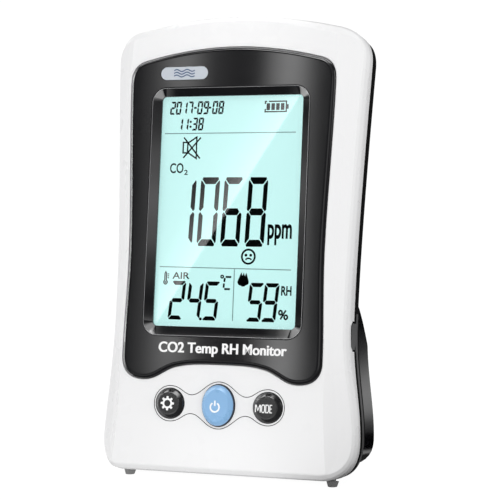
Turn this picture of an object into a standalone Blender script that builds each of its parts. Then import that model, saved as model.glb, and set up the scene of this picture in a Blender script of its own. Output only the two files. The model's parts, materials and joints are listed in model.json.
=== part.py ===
"""Carbon dioxide monitor: a desk instrument with a segment display that leans back on four feet.

Everything is modelled in the case's own frame, in millimetres: x to the right, y from the flat
front panel towards the back, z up along the case. The finished case then leans back on its feet,
and the frame's origin goes to the middle of the footprint.
"""
import math

import bmesh
import bpy
import numpy as np

MM = 0.001                      # the model's unit, in metres

# Stance
LEAN = math.radians(7.0)        # the case leans back by this much
FRONT_FOOT = (44.6, 16.6)       # x and depth of the front feet
REAR_FOOT = (36.0, 42.0)        # x and depth of the rear feet
STANCE = 4.53                   # height of the case's bottom front edge over the desk

# Case
GAP = 0.3                       # clearance between two pieces that touch on the real object
WALL = 2.4                      # thickness of the mouldings
PARTING = 19.5                  # depth of the seam between the front and the rear housing
CREASE_SIDE = 0.9               # the front's outer crease lies this far inside the case outline
CREASE_TOP = 3.9
CREASE_BOTTOM = 2.5
FACET_FALL = 0.84               # depth per millimetre of width on the side facets
FACET_FALL_HIP = 0.98
HIP_TOP = 62.0                  # the facets get steeper below this height
HIP_BOTTOM = 22.0
REAR_FACE = 28.4                # depth of the upper rear wall
SEAT = 26.6                     # depth of the lower rear wall, which the pod sits on
SEAT_TOP = 74.2
POD_TOP = 73.8
POD_REAR = 53.0                 # the deepest point of the whole case
POD_LIFT = 4.0                  # the pod's bottom is this much higher than the case's

# Display
WINDOW_EDGE = (30.9, 60.1, 156.0)     # half width, bottom and top of the visible display
RECESS_EDGE = (35.0, 56.2, 159.6)     # the same for the sloping frame's outer edge
BEZEL_RISE = 1.2                      # the bezel stands this proud of the panel
LIP_DEPTH = 1.9                       # depth of the bezel's inner lip
WINDOW_FRONT = 2.2
LCD_FRONT = 3.5
LCD_REAR = 5.3

# Buttons
BUTTON_Z = 28.36
BUTTON_X = 21.16
CAP_RADIUS = 6.45
CAP_RISE = 1.8
POWER_CAP = (6.65, 8.7)               # half width and half height
POWER_RISE = 3.0
FLANGE = 0.45                         # a cap's flange is this much wider than its crown
PLATE_THICKNESS = 0.9
STEM_END = 9.4                        # depth that a button's stem reaches
SWITCH_FRONT = 11.0

# Board and fasteners
BOARD_FRONT = 13.9
BOARD_REAR = 15.5
PARTS_FRONT = BOARD_REAR + GAP        # components on the board's rear start here
BOARD_HALF_WIDTH = 34.0
BOARD_BOTTOM = 18.0
BOARD_TOP = 172.0
CORNER_SCREWS = ((-40, 171), (40, 171), (-40, 14), (40, 14))
BOARD_SCREWS = ((-29, 167), (29, 167), (-29, 47.5), (29, 47.5))
POD_SCREWS = ((-41.5, 38), (41.5, 38))
SCREW_SEAT = 22.0                     # depth of the ledge under a corner screw's head
POD_SCREW_SEAT = 49.6
PORT_Z = 58.5                         # height of the side notches, one holds the charging port

# Battery
BATTERY_AT = (39.6, 27.0)             # depth and height of its axis
BATTERY_RADIUS = 9.1
BATTERY_HALF_LENGTH = 32.5

# Outlines, right half, from the bottom centre to the top centre: a start point, then stretches
# of (first handle, second handle, end point, steps); a stretch without handles is straight.
CASE_OUTLINE = ((0, 0),
                (None, None, (42.5, 0), 3),
                ((50, 0), (54.9, 5.5), (54.9, 15), 5),
                ((54.9, 31), (50.4, 44), (50.6, 64), 6),
                ((50.6, 95), (53, 140), (54.7, 171), 6),
                ((55, 178.5), (52.2, 182.4), (46.5, 184.2), 6),
                ((33, 187.7), (16, 190), (0, 190), 5))
PANEL_EDGE = ((46.6, 0),
              ((45, 12), (43.9, 28), (43.9, 44), 8),
              ((43.9, 60), (43.1, 72), (43.1, 88), 8),
              ((43.1, 108), (44.9, 136), (45.3, 158), 8),
              ((45.5, 168), (44.6, 178), (44.2, 190), 8))
BEZEL_OUTLINE = ((0, 45),
                 ((8, 45), (13.5, 44.9), (17.5, 43.9), 5),
                 ((24.5, 42.8), (27, 38), (33.4, 38), 6),
                 ((39.5, 38), (43.3, 41), (43.2, 48), 6),
                 ((43.3, 62), (42.35, 74), (42.35, 88), 5),
                 ((42.35, 108), (44.2, 136), (44.7, 160), 6),
                 ((45, 168.5), (41.5, 170.3), (37, 171.3), 6),
                 ((25, 174.3), (12, 176.1), (0, 176.1), 6))
# Upper right quarter of the button plate, around its own middle, from the top to the right.
PLATE_QUARTER = ((0, 9.8),
                 ((5.2, 9.8), (7.6, 3.9), (11.6, 3.7), 7),
                 ((15.2, 3.5), (16.2, 7.5), (21.16, 7.5), 5),
                 ((25.3, 7.5), (28.66, 4.14), (28.66, 0), 6))
# The pod seen from the side, as (depth, height), from its top edge round to its bottom.
POD_PROFILE = ((SEAT + GAP, POD_TOP),
               ((33.5, 70.5), (43.5, 62.5), (47.6, 55), 7),
               ((51.5, 48), (POD_REAR + 1, 44), (POD_REAR + 1, 38), 5),
               (None, None, (POD_REAR + 1, 0), 1),
               (None, None, (SEAT + GAP, 0), 1))


# ---------------------------------------------------------------- outlines

def trace(outline):
    """The points of an outline written as a start point and stretches."""
    points = [outline[0]]
    for handle_a, handle_b, end, steps in outline[1:]:
        start = points[-1]
        for step in range(1, steps + 1):
            t = step / steps
            if handle_a is None:
                weights = (1 - t, 0, 0, t)
                handles = (start, end)
            else:
                weights = ((1 - t) ** 3, 3 * t * (1 - t) ** 2, 3 * t * t * (1 - t), t ** 3)
                handles = (handle_a, handle_b)
            corners = (start, *handles, end)
            points.append(tuple(sum(w * c[axis] for w, c in zip(weights, corners)) for axis in (0, 1)))
    return points


def mirrored(half):
    """A closed loop, anticlockwise from the front, from its right half."""
    return half + [(-x, z) for x, z in reversed(half[1:-1])]


def inset(loop, distance):
    """The loop moved inwards; distance is a number or a function of a point and its normal."""
    moved = []
    for index, (x, z) in enumerate(loop):
        before = loop[index - 1]
        after = loop[(index + 1) % len(loop)]
        along = (after[0] - before[0], after[1] - before[1])
        length = math.hypot(*along)
        normal = (along[1] / length, -along[0] / length)
        step = distance(x, z, normal) if callable(distance) else distance
        moved.append((x - normal[0] * step, z - normal[1] * step))
    return moved


def ring(loop, depth):
    """A loop placed at a depth; depth is a number or one value for each point."""
    depths = depth if isinstance(depth, list) else [depth] * len(loop)
    return [(x, y, z) for (x, z), y in zip(loop, depths)]


def ellipse(x, z, half_width, half_height, count=24):
    angles = [2 * math.pi * index / count for index in range(count)]
    return [(x + half_width * math.sin(a), z - half_height * math.cos(a)) for a in angles]


def circle(x, z, radius, count=24):
    return ellipse(x, z, radius, radius, count)


def rounded_rectangle(half_width, bottom, top, radius, x=0.0, steps=5):
    """A loop, anticlockwise from the front, with four round corners."""
    points = []
    corners = ((1, bottom + radius, -90), (1, top - radius, 0), (-1, top - radius, 90),
               (-1, bottom + radius, 180))
    for side, centre_z, first in corners:
        for step in range(steps + 1):
            angle = math.radians(first + 90 * step / steps)
            points.append((x + side * (half_width - radius) + radius * math.cos(angle),
                           centre_z + radius * math.sin(angle)))
    return points


def smooth(value):
    """A soft step from 0 to 1."""
    value = min(1.0, max(0.0, value))
    return value * value * (3 - 2 * value)


# ---------------------------------------------------------------- meshes

def lofted(rings):
    """A closed mesh through rings of equally many points, with both ends filled."""
    mesh = bmesh.new()
    rows = [[mesh.verts.new([value * MM for value in point]) for point in row] for row in rings]
    mesh.faces.new(rows[0])
    mesh.faces.new(rows[-1])
    count = len(rows[0])
    for row, following in zip(rows, rows[1:]):
        for index in range(count):
            after = (index + 1) % count
            mesh.faces.new((row[index], row[after], following[after], following[index]))
    bmesh.ops.recalc_face_normals(mesh, faces=mesh.faces)
    return mesh


def prism(loop, front, rear):
    """A loop in the panel's plane, extruded along the depth."""
    return lofted([ring(loop, front), ring(loop, rear)])


def block(x_range, y_range, z_range):
    (x0, x1), (y0, y1), (z0, z1) = x_range, y_range, z_range
    return prism([(x0, z0), (x1, z0), (x1, z1), (x0, z1)], y0, y1)


def side_prism(loop, left, right):
    """A loop of (depth, height) points, extruded from left to right."""
    return lofted([[(left, y, z) for y, z in loop], [(right, y, z) for y, z in loop]])


def turned(x, z, profile, count=20):
    """A solid turned around an axis along the depth; profile is (radius, depth) pairs."""
    return lofted([ring(circle(x, z, radius, count), depth) for radius, depth in profile])


def joined(meshes):
    """Several meshes as one, for cutters that stay clear of each other."""
    whole = bmesh.new()
    for mesh in meshes:
        piece = bpy.data.meshes.new("piece")
        mesh.to_mesh(piece)
        whole.from_mesh(piece)
        bpy.data.meshes.remove(piece)
        mesh.free()
    return whole


# ---------------------------------------------------------------- objects

def finish(name, colour, roughness, metallic=0.0):
    """A material with the look of one kind of surface."""
    material = bpy.data.materials.get(name)
    if material is None:
        material = bpy.data.materials.new(name)
        material.use_nodes = True
        shader = material.node_tree.nodes["Principled BSDF"]
        shader.inputs["Base Color"].default_value = (*colour, 1.0)
        shader.inputs["Roughness"].default_value = roughness
        shader.inputs["Metallic"].default_value = metallic
    return material


WHITE = ("white_abs", (0.90, 0.90, 0.90), 0.25)
BLACK = ("gloss_black_abs", (0.02, 0.02, 0.022), 0.12)
DARK = ("dark_abs", (0.035, 0.035, 0.038), 0.30)
BLUE = ("blue_button_plastic", (0.22, 0.47, 0.80), 0.30)
CLEAR = ("clear_acrylic", (0.92, 0.96, 0.97), 0.05)
CYAN = ("display_glass", (0.55, 0.93, 0.92), 0.20)
MILKY = ("diffuser_acrylic", (0.95, 0.96, 0.94), 0.45)
NATURAL = ("natural_plastic", (0.80, 0.79, 0.74), 0.50)
BOARD = ("board_laminate", (0.03, 0.22, 0.10), 0.40)
CHIP = ("chip_epoxy", (0.03, 0.03, 0.03), 0.50)
BRASS = ("gilt_metal", (0.78, 0.62, 0.30), 0.35, 1.0)
STEEL = ("plated_steel", (0.72, 0.73, 0.75), 0.28, 1.0)
MEMBRANE = ("filter_membrane", (0.93, 0.93, 0.91), 0.85)
CELL = ("battery_sleeve", (0.12, 0.40, 0.62), 0.35)
RUBBER = ("grey_rubber", (0.30, 0.30, 0.30), 0.80)
COPPER = ("flex_laminate", (0.55, 0.30, 0.08), 0.40)
RED = ("red_wire", (0.65, 0.03, 0.03), 0.45)
JACKET = ("black_wire", (0.03, 0.03, 0.03), 0.45)
SILVER = ("badge_foil", (0.66, 0.70, 0.74), 0.30, 0.8)


class Builder:
    """Puts solids into the scene, all of them children of the leaning case."""

    def __init__(self):
        self.case = bpy.data.objects.new("case", None)
        bpy.context.collection.objects.link(self.case)

    def place(self, name, data):
        """A new object of the case, holding a mesh or a curve."""
        item = bpy.data.objects.new(name, data)
        bpy.context.collection.objects.link(item)
        item.parent = self.case
        return item

    def place_mesh(self, name, mesh):
        data = bpy.data.meshes.new(name)
        mesh.to_mesh(data)
        mesh.free()
        return self.place(name, data)

    def guide(self, name, mesh):
        """A hidden solid that only shapes other solids."""
        tool = self.place_mesh(name, mesh)
        tool.hide_render = True
        tool.display_type = "WIRE"
        return tool

    def add(self, name, mesh, look, pivot=None):
        """A named solid; pivot is the point on its joint's axis, for a piece that moves."""
        if pivot is not None:
            bmesh.ops.translate(mesh, verts=mesh.verts, vec=[-value * MM for value in pivot])
        item = self.place_mesh(name, mesh)
        if pivot is not None:
            item.location = [value * MM for value in pivot]
        item.data.materials.append(finish(*look))
        item.data.shade_smooth()
        item.data.set_sharp_from_angle(angle=math.radians(32))
        return item

    def combine(self, item, tool, operation, label):
        change = item.modifiers.new(label, "BOOLEAN")
        change.operation = operation
        change.object = tool
        change.solver = "EXACT"

    def cut(self, item, label, *meshes):
        self.combine(item, self.guide(f"{item.name}_{label}", joined(meshes)), "DIFFERENCE", label)

    def join(self, item, label, *meshes):
        self.combine(item, self.guide(f"{item.name}_{label}", joined(meshes)), "UNION", label)

    def trim(self, item, label, mesh):
        """Keeps only what lies inside the mesh."""
        self.combine(item, self.guide(f"{item.name}_{label}", mesh), "INTERSECT", label)


# ---------------------------------------------------------------- case shape

def panel_half_width(z, edge=tuple(zip(*trace(PANEL_EDGE)))):
    """Where the flat front panel ends and the side facets begin, at a height."""
    return float(np.interp(z, edge[1], edge[0]))


def facet_depth(x, z):
    """How far the front has fallen back from the panel's plane at a point."""
    hip = smooth((HIP_TOP - z) / (HIP_TOP - HIP_BOTTOM))
    fall = FACET_FALL + (FACET_FALL_HIP - FACET_FALL) * hip
    return max(0.0, abs(x) - panel_half_width(z)) * fall


def crease_inset(x, z, normal):
    """How far the front's outer crease lies inside the case outline."""
    if normal[1] > 0:
        end = 2.6 + (CREASE_TOP - 2.6) * smooth((abs(x) - 12) / 30)
    else:
        end = CREASE_BOTTOM
    return CREASE_SIDE + (end - CREASE_SIDE) * normal[1] ** 2


def clamped_to_panel(loop, margin):
    """The loop with its sides pulled in to the flat panel's edge, or a margin inside it."""
    return [(math.copysign(min(abs(x), panel_half_width(z) - margin), x), z) for x, z in loop]


def front_shell():
    """The front housing as an open cup: outer skin to the rim, then the inner skin back."""
    case = mirrored(trace(CASE_OUTLINE))
    crease = inset(case, crease_inset)
    crease_depth = [facet_depth(x, z) + 0.25 for x, z in crease]
    panel = clamped_to_panel(inset(crease, 0.5), 0.0)
    fold = [tuple(p + 0.45 * (c - p) for p, c in zip(*pair)) for pair in zip(panel, crease)]
    fold_depth = [0.52 * depth for depth in crease_depth]
    shoulder = [tuple(c + 0.72 * (o - c) for c, o in zip(*pair)) for pair in zip(crease, case)]
    inner = inset(case, WALL)
    inner_crease = inset(crease, WALL)
    outside = [ring(panel, 0.0), ring(fold, fold_depth), ring(crease, crease_depth),
               ring(shoulder, [depth + 2.4 for depth in crease_depth]),
               ring(case, [depth + 6.5 for depth in crease_depth]), ring(case, PARTING)]
    inside = [ring(inner, PARTING), ring(inner, [depth + 6.5 for depth in crease_depth]),
              ring(inner_crease, [depth + 2.3 for depth in crease_depth]),
              ring(clamped_to_panel(inset(inner_crease, 0.6), 1.2), WALL)]
    return lofted(outside + inside)


def notch(clearance):
    """The trapezoid cut in each side of the front housing's rim, as (depth, height) points."""
    floor = PARTING - 4.6 + clearance
    wide = 6.2 - clearance
    narrow = 4.15 - clearance
    rim = PARTING + 2.0
    knee = PARTING - 2.4
    return [(floor, PORT_Z - narrow), (knee, PORT_Z - wide), (rim, PORT_Z - wide),
            (rim, PORT_Z + wide), (knee, PORT_Z + wide), (floor, PORT_Z + narrow)]


def button_wells(extra):
    """The three button outlines, grown by extra: settings, power and mode."""
    return (circle(-BUTTON_X, BUTTON_Z, CAP_RADIUS + extra),
            ellipse(0, BUTTON_Z, POWER_CAP[0] + extra, POWER_CAP[1] + extra),
            circle(BUTTON_X, BUTTON_Z, CAP_RADIUS + extra))


def plate_outline(extra):
    """The dog-bone round the three buttons, grown by extra."""
    quarter = trace(PLATE_QUARTER)
    right = quarter + [(x, -z) for x, z in reversed(quarter[:-1])]
    loop = right + [(-x, z) for x, z in reversed(right[1:-1])]
    loop = [(x, z + BUTTON_Z) for x, z in reversed(loop)]
    return inset(loop, -extra)


def add_front_housing(build):
    housing = build.add("front_housing", front_shell(), WHITE)
    bosses = [turned(x, z, ((3.4, 2.0), (3.4, PARTING - 0.6)), 12) for x, z in CORNER_SCREWS]
    bosses += [turned(x, z, ((2.6, 2.0), (2.6, BOARD_FRONT - GAP)), 12) for x, z in BOARD_SCREWS]
    build.join(housing, "bosses", *bosses)
    pocket = inset(mirrored(trace(BEZEL_OUTLINE)), -GAP)
    build.cut(housing, "bezel_pocket", prism(pocket, -6, 1.4))
    build.cut(housing, "display_opening", prism(rounded_rectangle(37, 54, 162, 5), -6, 8))
    build.cut(housing, "plate_pocket", prism(plate_outline(GAP), -6, PLATE_THICKNESS + GAP))
    build.cut(housing, "button_wells", *[prism(well, -6, 7) for well in button_wells(FLANGE + GAP)])
    pilots = [turned(x, z, ((1.3, 6.0), (1.3, PARTING + 2)), 12) for x, z in CORNER_SCREWS]
    pilots += [turned(x, z, ((1.2, 5.0), (1.2, BOARD_FRONT + 2)), 12) for x, z in BOARD_SCREWS]
    build.cut(housing, "pilot_holes", *pilots)
    build.cut(housing, "side_notches", side_prism(notch(0), -60, -44), side_prism(notch(0), 44, 60))
    build.cut(housing, "foot_holes", *[foot_stud(side * FRONT_FOOT[0], FRONT_FOOT[1], 1.7, -2, 5)
                                       for side in (-1, 1)])


# ---------------------------------------------------------------- display and bezel

def frame_solid(edge, radius, front, rear):
    half_width, bottom, top = edge
    return prism(rounded_rectangle(half_width, bottom, top, radius), front, rear)


def grown(edge, amount):
    return edge[0] + amount, edge[1] - amount, edge[2] + amount


def recess_cutter():
    """The sloping funnel in front of the display, then the straight land of its lip."""
    slope_end = LIP_DEPTH - 0.4
    slope = (RECESS_EDGE[0] - WINDOW_EDGE[0]) / (slope_end + BEZEL_RISE)
    ahead = grown(RECESS_EDGE, slope)
    return lofted([ring(rounded_rectangle(*ahead, 7.0), -BEZEL_RISE - 1),
                   ring(rounded_rectangle(*RECESS_EDGE, 6.0), -BEZEL_RISE),
                   ring(rounded_rectangle(*WINDOW_EDGE, 1.8), slope_end),
                   ring(rounded_rectangle(*WINDOW_EDGE, 1.8), LIP_DEPTH + 2)])


def add_bezel(build):
    outline = mirrored(trace(BEZEL_OUTLINE))
    body = lofted([ring(inset(outline, 1.3), -BEZEL_RISE), ring(inset(outline, 0.5), -0.85),
                   ring(inset(outline, 0.12), -0.3), ring(outline, 0.1), ring(outline, 1.1)])
    bezel = build.add("bezel", body, BLACK)
    build.join(bezel, "tub", frame_solid(grown(RECESS_EDGE, 1.1), 4, 0.4, LIP_DEPTH))
    build.cut(bezel, "recess", recess_cutter())
    build.cut(bezel, "badge_pocket", prism(badge_outline(GAP), -3, -BEZEL_RISE + 0.5))
    build.add("front_badge", prism(badge_outline(0), -BEZEL_RISE - 0.15, -BEZEL_RISE + 0.2), SILVER)


def badge_outline(extra):
    """A small pill near the bezel's upper left corner."""
    half_height = 2.7 + extra
    return rounded_rectangle(10.4 + extra, 165.4 - half_height, 165.4 + half_height, half_height,
                             x=-20.6)


def lcd_profile():
    """The two glass sheets from the side; the rear one is longer at the bottom."""
    step = (LCD_FRONT + LCD_REAR) / 2
    bottom = WINDOW_EDGE[1] - 2.6
    top = WINDOW_EDGE[2] + 2.6
    return [(LCD_FRONT, top), (LCD_REAR, top), (LCD_REAR, bottom - 2.1), (step, bottom - 2.1),
            (step, bottom), (LCD_FRONT, bottom)]


def flex_profile(thickness=0.25, steps=6):
    """The flat cable from the glass ledge, round a bend, to the board's front face."""
    middle = [(3.95, 57.0), (3.95, 54.4)]
    for step in range(1, steps + 1):
        angle = math.radians(90 * step / steps)
        middle.append((3.95 + 2.2 * (1 - math.cos(angle)), 54.4 - 2.2 * math.sin(angle)))
    middle.append((11.4, 52.2))
    for step in range(1, steps + 1):
        angle = math.radians(90 * step / steps)
        middle.append((11.4 + 2.0 * math.sin(angle), 50.2 + 2.0 * math.cos(angle)))
    middle.append((13.4, 45.0))
    sides = ([], [])
    for index, (y, z) in enumerate(middle):
        before = middle[max(0, index - 1)]
        after = middle[min(len(middle) - 1, index + 1)]
        length = math.hypot(after[0] - before[0], after[1] - before[1])
        normal = ((after[1] - before[1]) / length, -(after[0] - before[0]) / length)
        for side, sign in zip(sides, (1, -1)):
            side.append((y + sign * normal[0] * thickness / 2, z + sign * normal[1] * thickness / 2))
    return sides[0] + sides[1][::-1]


def add_display(build):
    pane = grown(WINDOW_EDGE, 3.2)
    build.add("display_window", frame_solid(pane, 2.5, WINDOW_FRONT, WINDOW_FRONT + 1.0), CLEAR)
    half_glass = WINDOW_EDGE[0] + 2.3
    build.add("lcd_panel", side_prism(lcd_profile(), -half_glass, half_glass), CYAN)
    light = (31.0, 59.5, 157.0)
    build.add("lcd_backlight", frame_solid(light, 1.0, LCD_REAR + GAP, 8.4), MILKY)
    holder = build.add("lcd_holder", frame_solid((35.6, 53.5, 161.5), 1.5, LCD_REAR + GAP,
                                                 BOARD_FRONT - GAP), NATURAL)
    build.cut(holder, "light_bay", frame_solid(grown(light, GAP), 1.0, 0, 20))
    build.cut(holder, "flex_slot", block((-19, 19), (0, 20), (50, 57.6)))
    build.add("lcd_flex_cable", side_prism(flex_profile(), -17.5, 17.5), COPPER)


# ---------------------------------------------------------------- buttons

def cap_mesh(x, half_width, half_height, rise, stem):
    """A domed cap with a retaining flange and a stem that reaches its switch."""
    rows = [(-0.30, 0.6, rise), (-0.17, 0.6, rise - 0.10), (-0.08, 0.55, rise - 0.35),
            (-0.03, 0.3, rise - 0.75), (0.0, 0.1, rise - 1.25), (0.0, 0.0, rise - 1.7)]
    rings = [ring(ellipse(x, BUTTON_Z, 0.35 * half_width, 0.35 * half_height), -rise - 0.05)]
    for share, extra, height in rows:
        scale = 1 + share
        size = (half_width * scale - extra, half_height * scale - extra)
        rings.append(ring(ellipse(x, BUTTON_Z, *size), -height))
    flange_front = PLATE_THICKNESS + GAP
    rings += [ring(ellipse(x, BUTTON_Z, half_width + grow, half_height + grow), depth)
              for grow, depth in ((0, flange_front), (FLANGE, flange_front),
                                  (FLANGE, flange_front + 1))]
    rings += [ring(ellipse(x, BUTTON_Z, stem, stem), depth)
              for depth in (flange_front + 1, STEM_END)]
    return lofted(rings)


def add_button(build, name, x, half_width, half_height, rise, look):
    """One button cap, the plunger that it pushes, and the switch behind it."""
    pivot = (x, 0, BUTTON_Z)
    build.add(f"{name}_button", cap_mesh(x, half_width, half_height, rise, 2.5), look, pivot)
    plunger = ((1.7, STEM_END + GAP), (1.7, SWITCH_FRONT + 0.4))
    build.add(f"{name}_plunger", turned(x, BUTTON_Z, plunger, 16), CHIP, pivot)
    body = block((x - 3.1, x + 3.1), (SWITCH_FRONT, BOARD_FRONT - GAP), (BUTTON_Z - 3.1, BUTTON_Z + 3.1))
    switch = build.add(f"{name}_switch", body, STEEL)
    bore = ((2.0, SWITCH_FRONT - 1), (2.0, SWITCH_FRONT + 1.6))
    build.cut(switch, "bore", turned(x, BUTTON_Z, bore, 16))


def add_buttons(build):
    plate = build.add("button_plate", prism(plate_outline(0), 0, PLATE_THICKNESS), WHITE)
    build.cut(plate, "button_holes", *[prism(hole, -2, 3) for hole in button_wells(GAP)])
    add_button(build, "settings", -BUTTON_X, CAP_RADIUS, CAP_RADIUS, CAP_RISE, DARK)
    add_button(build, "power", 0.0, *POWER_CAP, POWER_RISE, BLUE)
    add_button(build, "mode", BUTTON_X, CAP_RADIUS, CAP_RADIUS, CAP_RISE, DARK)


# ---------------------------------------------------------------- electronics

def board_outline():
    """A chamfered rectangle with a tongue on the left that carries the charging port."""
    side, chamfer = BOARD_HALF_WIDTH, 3.0
    tongue = (-46.2, PORT_Z - 8.5, PORT_Z + 8.5)
    return [(-side + chamfer, BOARD_BOTTOM), (side - chamfer, BOARD_BOTTOM),
            (side, BOARD_BOTTOM + chamfer), (side, BOARD_TOP - chamfer),
            (side - chamfer, BOARD_TOP), (-side + chamfer, BOARD_TOP),
            (-side, BOARD_TOP - chamfer), (-side, tongue[2]), (tongue[0], tongue[2]),
            (tongue[0], tongue[1]), (-side, tongue[1]), (-side, BOARD_BOTTOM + chamfer)]


def add_charging_port(build):
    shell = block((-49.9, -43.5), (PARTS_FRONT, 18.6), (PORT_Z - 3.7, PORT_Z + 3.7))
    port = build.add("charging_port", shell, STEEL)
    mouth = block((-52, -45.2), (PARTS_FRONT + 0.4, 18.2), (PORT_Z - 3.3, PORT_Z + 3.3))
    build.cut(port, "mouth", mouth)
    build.join(port, "tongue", block((-49.2, -44.5), (16.9, 17.5), (PORT_Z - 2.4, PORT_Z + 2.4)))


def add_electronics(build):
    board = build.add("main_board", prism(board_outline(), BOARD_FRONT, BOARD_REAR), BOARD)
    build.cut(board, "screw_holes", *[turned(x, z, ((1.4, 10), (1.4, 20)), 16)
                                      for x, z in BOARD_SCREWS])
    build.add("microcontroller", block((8, 20), (PARTS_FRONT, 17.3), (96, 108)), CHIP)
    sensor = frame_solid((17.0, 128, 149), 1.5, PARTS_FRONT, 24.2)
    build.add("co2_sensor", sensor, BRASS)
    build.add("co2_sensor_filter", frame_solid((9.0, 132, 145), 1.0, 24.2 + GAP, 25.0), MEMBRANE)
    build.add("humidity_sensor", block((24, 28), (PARTS_FRONT, 17.0), (152, 156)), CHIP)
    build.add("buzzer", turned(-20, 88, ((6, PARTS_FRONT), (6, 22.2), (5.4, 22.8)), 24), CHIP)
    add_charging_port(build)
    build.add("battery_connector", block((22, 30), (PARTS_FRONT, 20.2), (58, 64)), NATURAL)


# ---------------------------------------------------------------- rear housing

def rear_shell():
    """The rear housing as an open cup, with a narrow shadow groove beside the seam."""
    case = mirrored(trace(CASE_OUTLINE))
    rim = PARTING + GAP
    outside = ((4.0, REAR_FACE), (1.7, 27.9), (0.4, 26.9), (0.2, 21.7), (0.9, 21.4), (0.9, rim))
    inside = ((3.2, rim), (3.2, 23.4), (4.6, 24.4))
    return lofted([ring(inset(case, amount), depth) for amount, depth in outside + inside])


def vent_slot(z):
    return prism(rounded_rectangle(19.0, z - 1.1, z + 1.1, 1.1, steps=2), 20, 32)


def add_rear_housing(build):
    housing = build.add("rear_housing", rear_shell(), DARK)
    build.cut(housing, "pod_seat", block((-70, 70), (SEAT, 40), (-10, SEAT_TOP)))
    build.cut(housing, "upper_bay", prism(rounded_rectangle(44, SEAT_TOP + 5, 180, 14), 22,
                                          REAR_FACE - 2.2))
    posts = [turned(x, z, ((4.6, PARTING + GAP), (4.6, SEAT - 1.2)), 12) for x, z in CORNER_SCREWS]
    build.join(housing, "posts", *posts)
    tab = [(min(y, PARTING + 1.5), z) for y, z in notch(GAP)]
    build.join(housing, "tabs", side_prism(tab, -50.3, -48.2), side_prism(tab, 48.2, 50.3))
    build.join(housing, "pod_posts", *[turned(x, z, ((3.2, SEAT - 1), (3.2, 47.4)), 12)
                                       for x, z in POD_SCREWS])
    build.cut(housing, "pod_pilots", *[turned(x, z, ((1.3, 34), (1.3, 50)), 12)
                                       for x, z in POD_SCREWS])
    build.cut(housing, "screw_holes", *[turned(x, z, ((1.8, 18), (1.8, SCREW_SEAT), (3.2, SCREW_SEAT),
                                                      (3.2, 32)), 12) for x, z in CORNER_SCREWS])
    build.cut(housing, "vents", *[vent_slot(122 + 5.5 * row) for row in range(7)])
    build.cut(housing, "cable_hole", turned(30, 45, ((3.2, 20), (3.2, 32)), 20))
    build.cut(housing, "port_hole", block((-60, -47), (PARTS_FRONT - GAP, 18.9),
                                          (PORT_Z - 4, PORT_Z + 4)))
    build.add("vent_mesh", frame_solid((21.5, 118, 159), 1.5, 25.5, REAR_FACE - 2.2 - GAP), MEMBRANE)


# ---------------------------------------------------------------- rear pod

def pod_outline():
    """The case outline with its bottom lifted."""
    height = 20.0
    return [(x, z + POD_LIFT * (1 - z / height) if z < height else z)
            for x, z in mirrored(trace(CASE_OUTLINE))]


def pod_loft(rows):
    outline = pod_outline()
    return lofted([ring(inset(outline, amount), depth) for amount, depth in rows])


def add_pod_cover(build):
    outside = ((8.0, POD_REAR), (4.6, 52.1), (2.3, 49.7), (1.1, 46.0), (0.7, SEAT + GAP))
    cover = build.add("pod_cover", pod_loft(outside), BLACK)
    profile = trace(POD_PROFILE)
    build.trim(cover, "side_profile", side_prism(profile, -70, 70))
    inside = ((9.5, POD_REAR - 2.2), (6.6, 50.0), (4.5, 48.0), (3.4, 45.0), (3.0, SEAT - 2))
    core = build.guide("pod_cover_core", pod_loft(inside))
    middle = (SEAT, 30.0)
    shrunk = [(middle[0] + (y - middle[0]) * 0.93 - 0.3, middle[1] + (z - middle[1]) * 0.93)
              for y, z in profile]
    build.trim(core, "core_profile", side_prism(shrunk, -70, 70))
    build.combine(cover, core, "DIFFERENCE", "hollow")
    build.join(cover, "screw_bosses", *[turned(x, z, ((4.6, 47.4 + GAP), (4.6, 51.5)), 12)
                                        for x, z in POD_SCREWS])
    build.cut(cover, "screw_holes", *[turned(x, z, ((1.8, 46), (1.8, POD_SCREW_SEAT),
                                                    (3.1, POD_SCREW_SEAT), (3.1, 56)), 12)
                                      for x, z in POD_SCREWS])
    build.cut(cover, "foot_holes", *[foot_stud(side * REAR_FOOT[0], REAR_FOOT[1], 1.7, 2, 9)
                                     for side in (-1, 1)])


# ---------------------------------------------------------------- battery

def coil_spring(start_x, end_x, radii, turns, wire):
    """A conical spring along x, as a closed tube swept along a helix."""
    steps, sides = int(turns * 12), 5
    depth, height = BATTERY_AT
    rings = []
    for step in range(steps + 1):
        share = step / steps
        angle = 2 * math.pi * turns * share
        radius = radii[0] + (radii[1] - radii[0]) * share
        centre = (start_x + (end_x - start_x) * share, depth + radius * math.cos(angle),
                  height + radius * math.sin(angle))
        outward = (0, math.cos(angle), math.sin(angle))
        rings.append([tuple(centre[axis] + wire * (math.cos(a) * (1, 0, 0)[axis]
                                                   + math.sin(a) * outward[axis])
                            for axis in range(3))
                      for a in (2 * math.pi * side / sides for side in range(sides))])
    return lofted(rings)


def along_x(profile, count=24):
    """A solid turned around the battery's axis; profile is (radius, x) pairs."""
    depth, height = BATTERY_AT
    rows = []
    for radius, x in profile:
        angles = [2 * math.pi * index / count for index in range(count)]
        rows.append([(x, depth + radius * math.cos(a), height + radius * math.sin(a)) for a in angles])
    return lofted(rows)


def wire(build, name, path, look):
    """A round wire along a path, with closed ends."""
    curve = bpy.data.curves.new(name, "CURVE")
    curve.dimensions = "3D"
    curve.bevel_depth = 0.6 * MM
    curve.bevel_resolution = 1
    curve.resolution_u = 3
    curve.use_fill_caps = True
    spline = curve.splines.new("BEZIER")
    spline.bezier_points.add(len(path) - 1)
    for point, place in zip(spline.bezier_points, path):
        point.co = [value * MM for value in place]
        point.handle_left_type = point.handle_right_type = "AUTO"
    curve.materials.append(finish(*look))
    build.place(name, curve)


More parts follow.
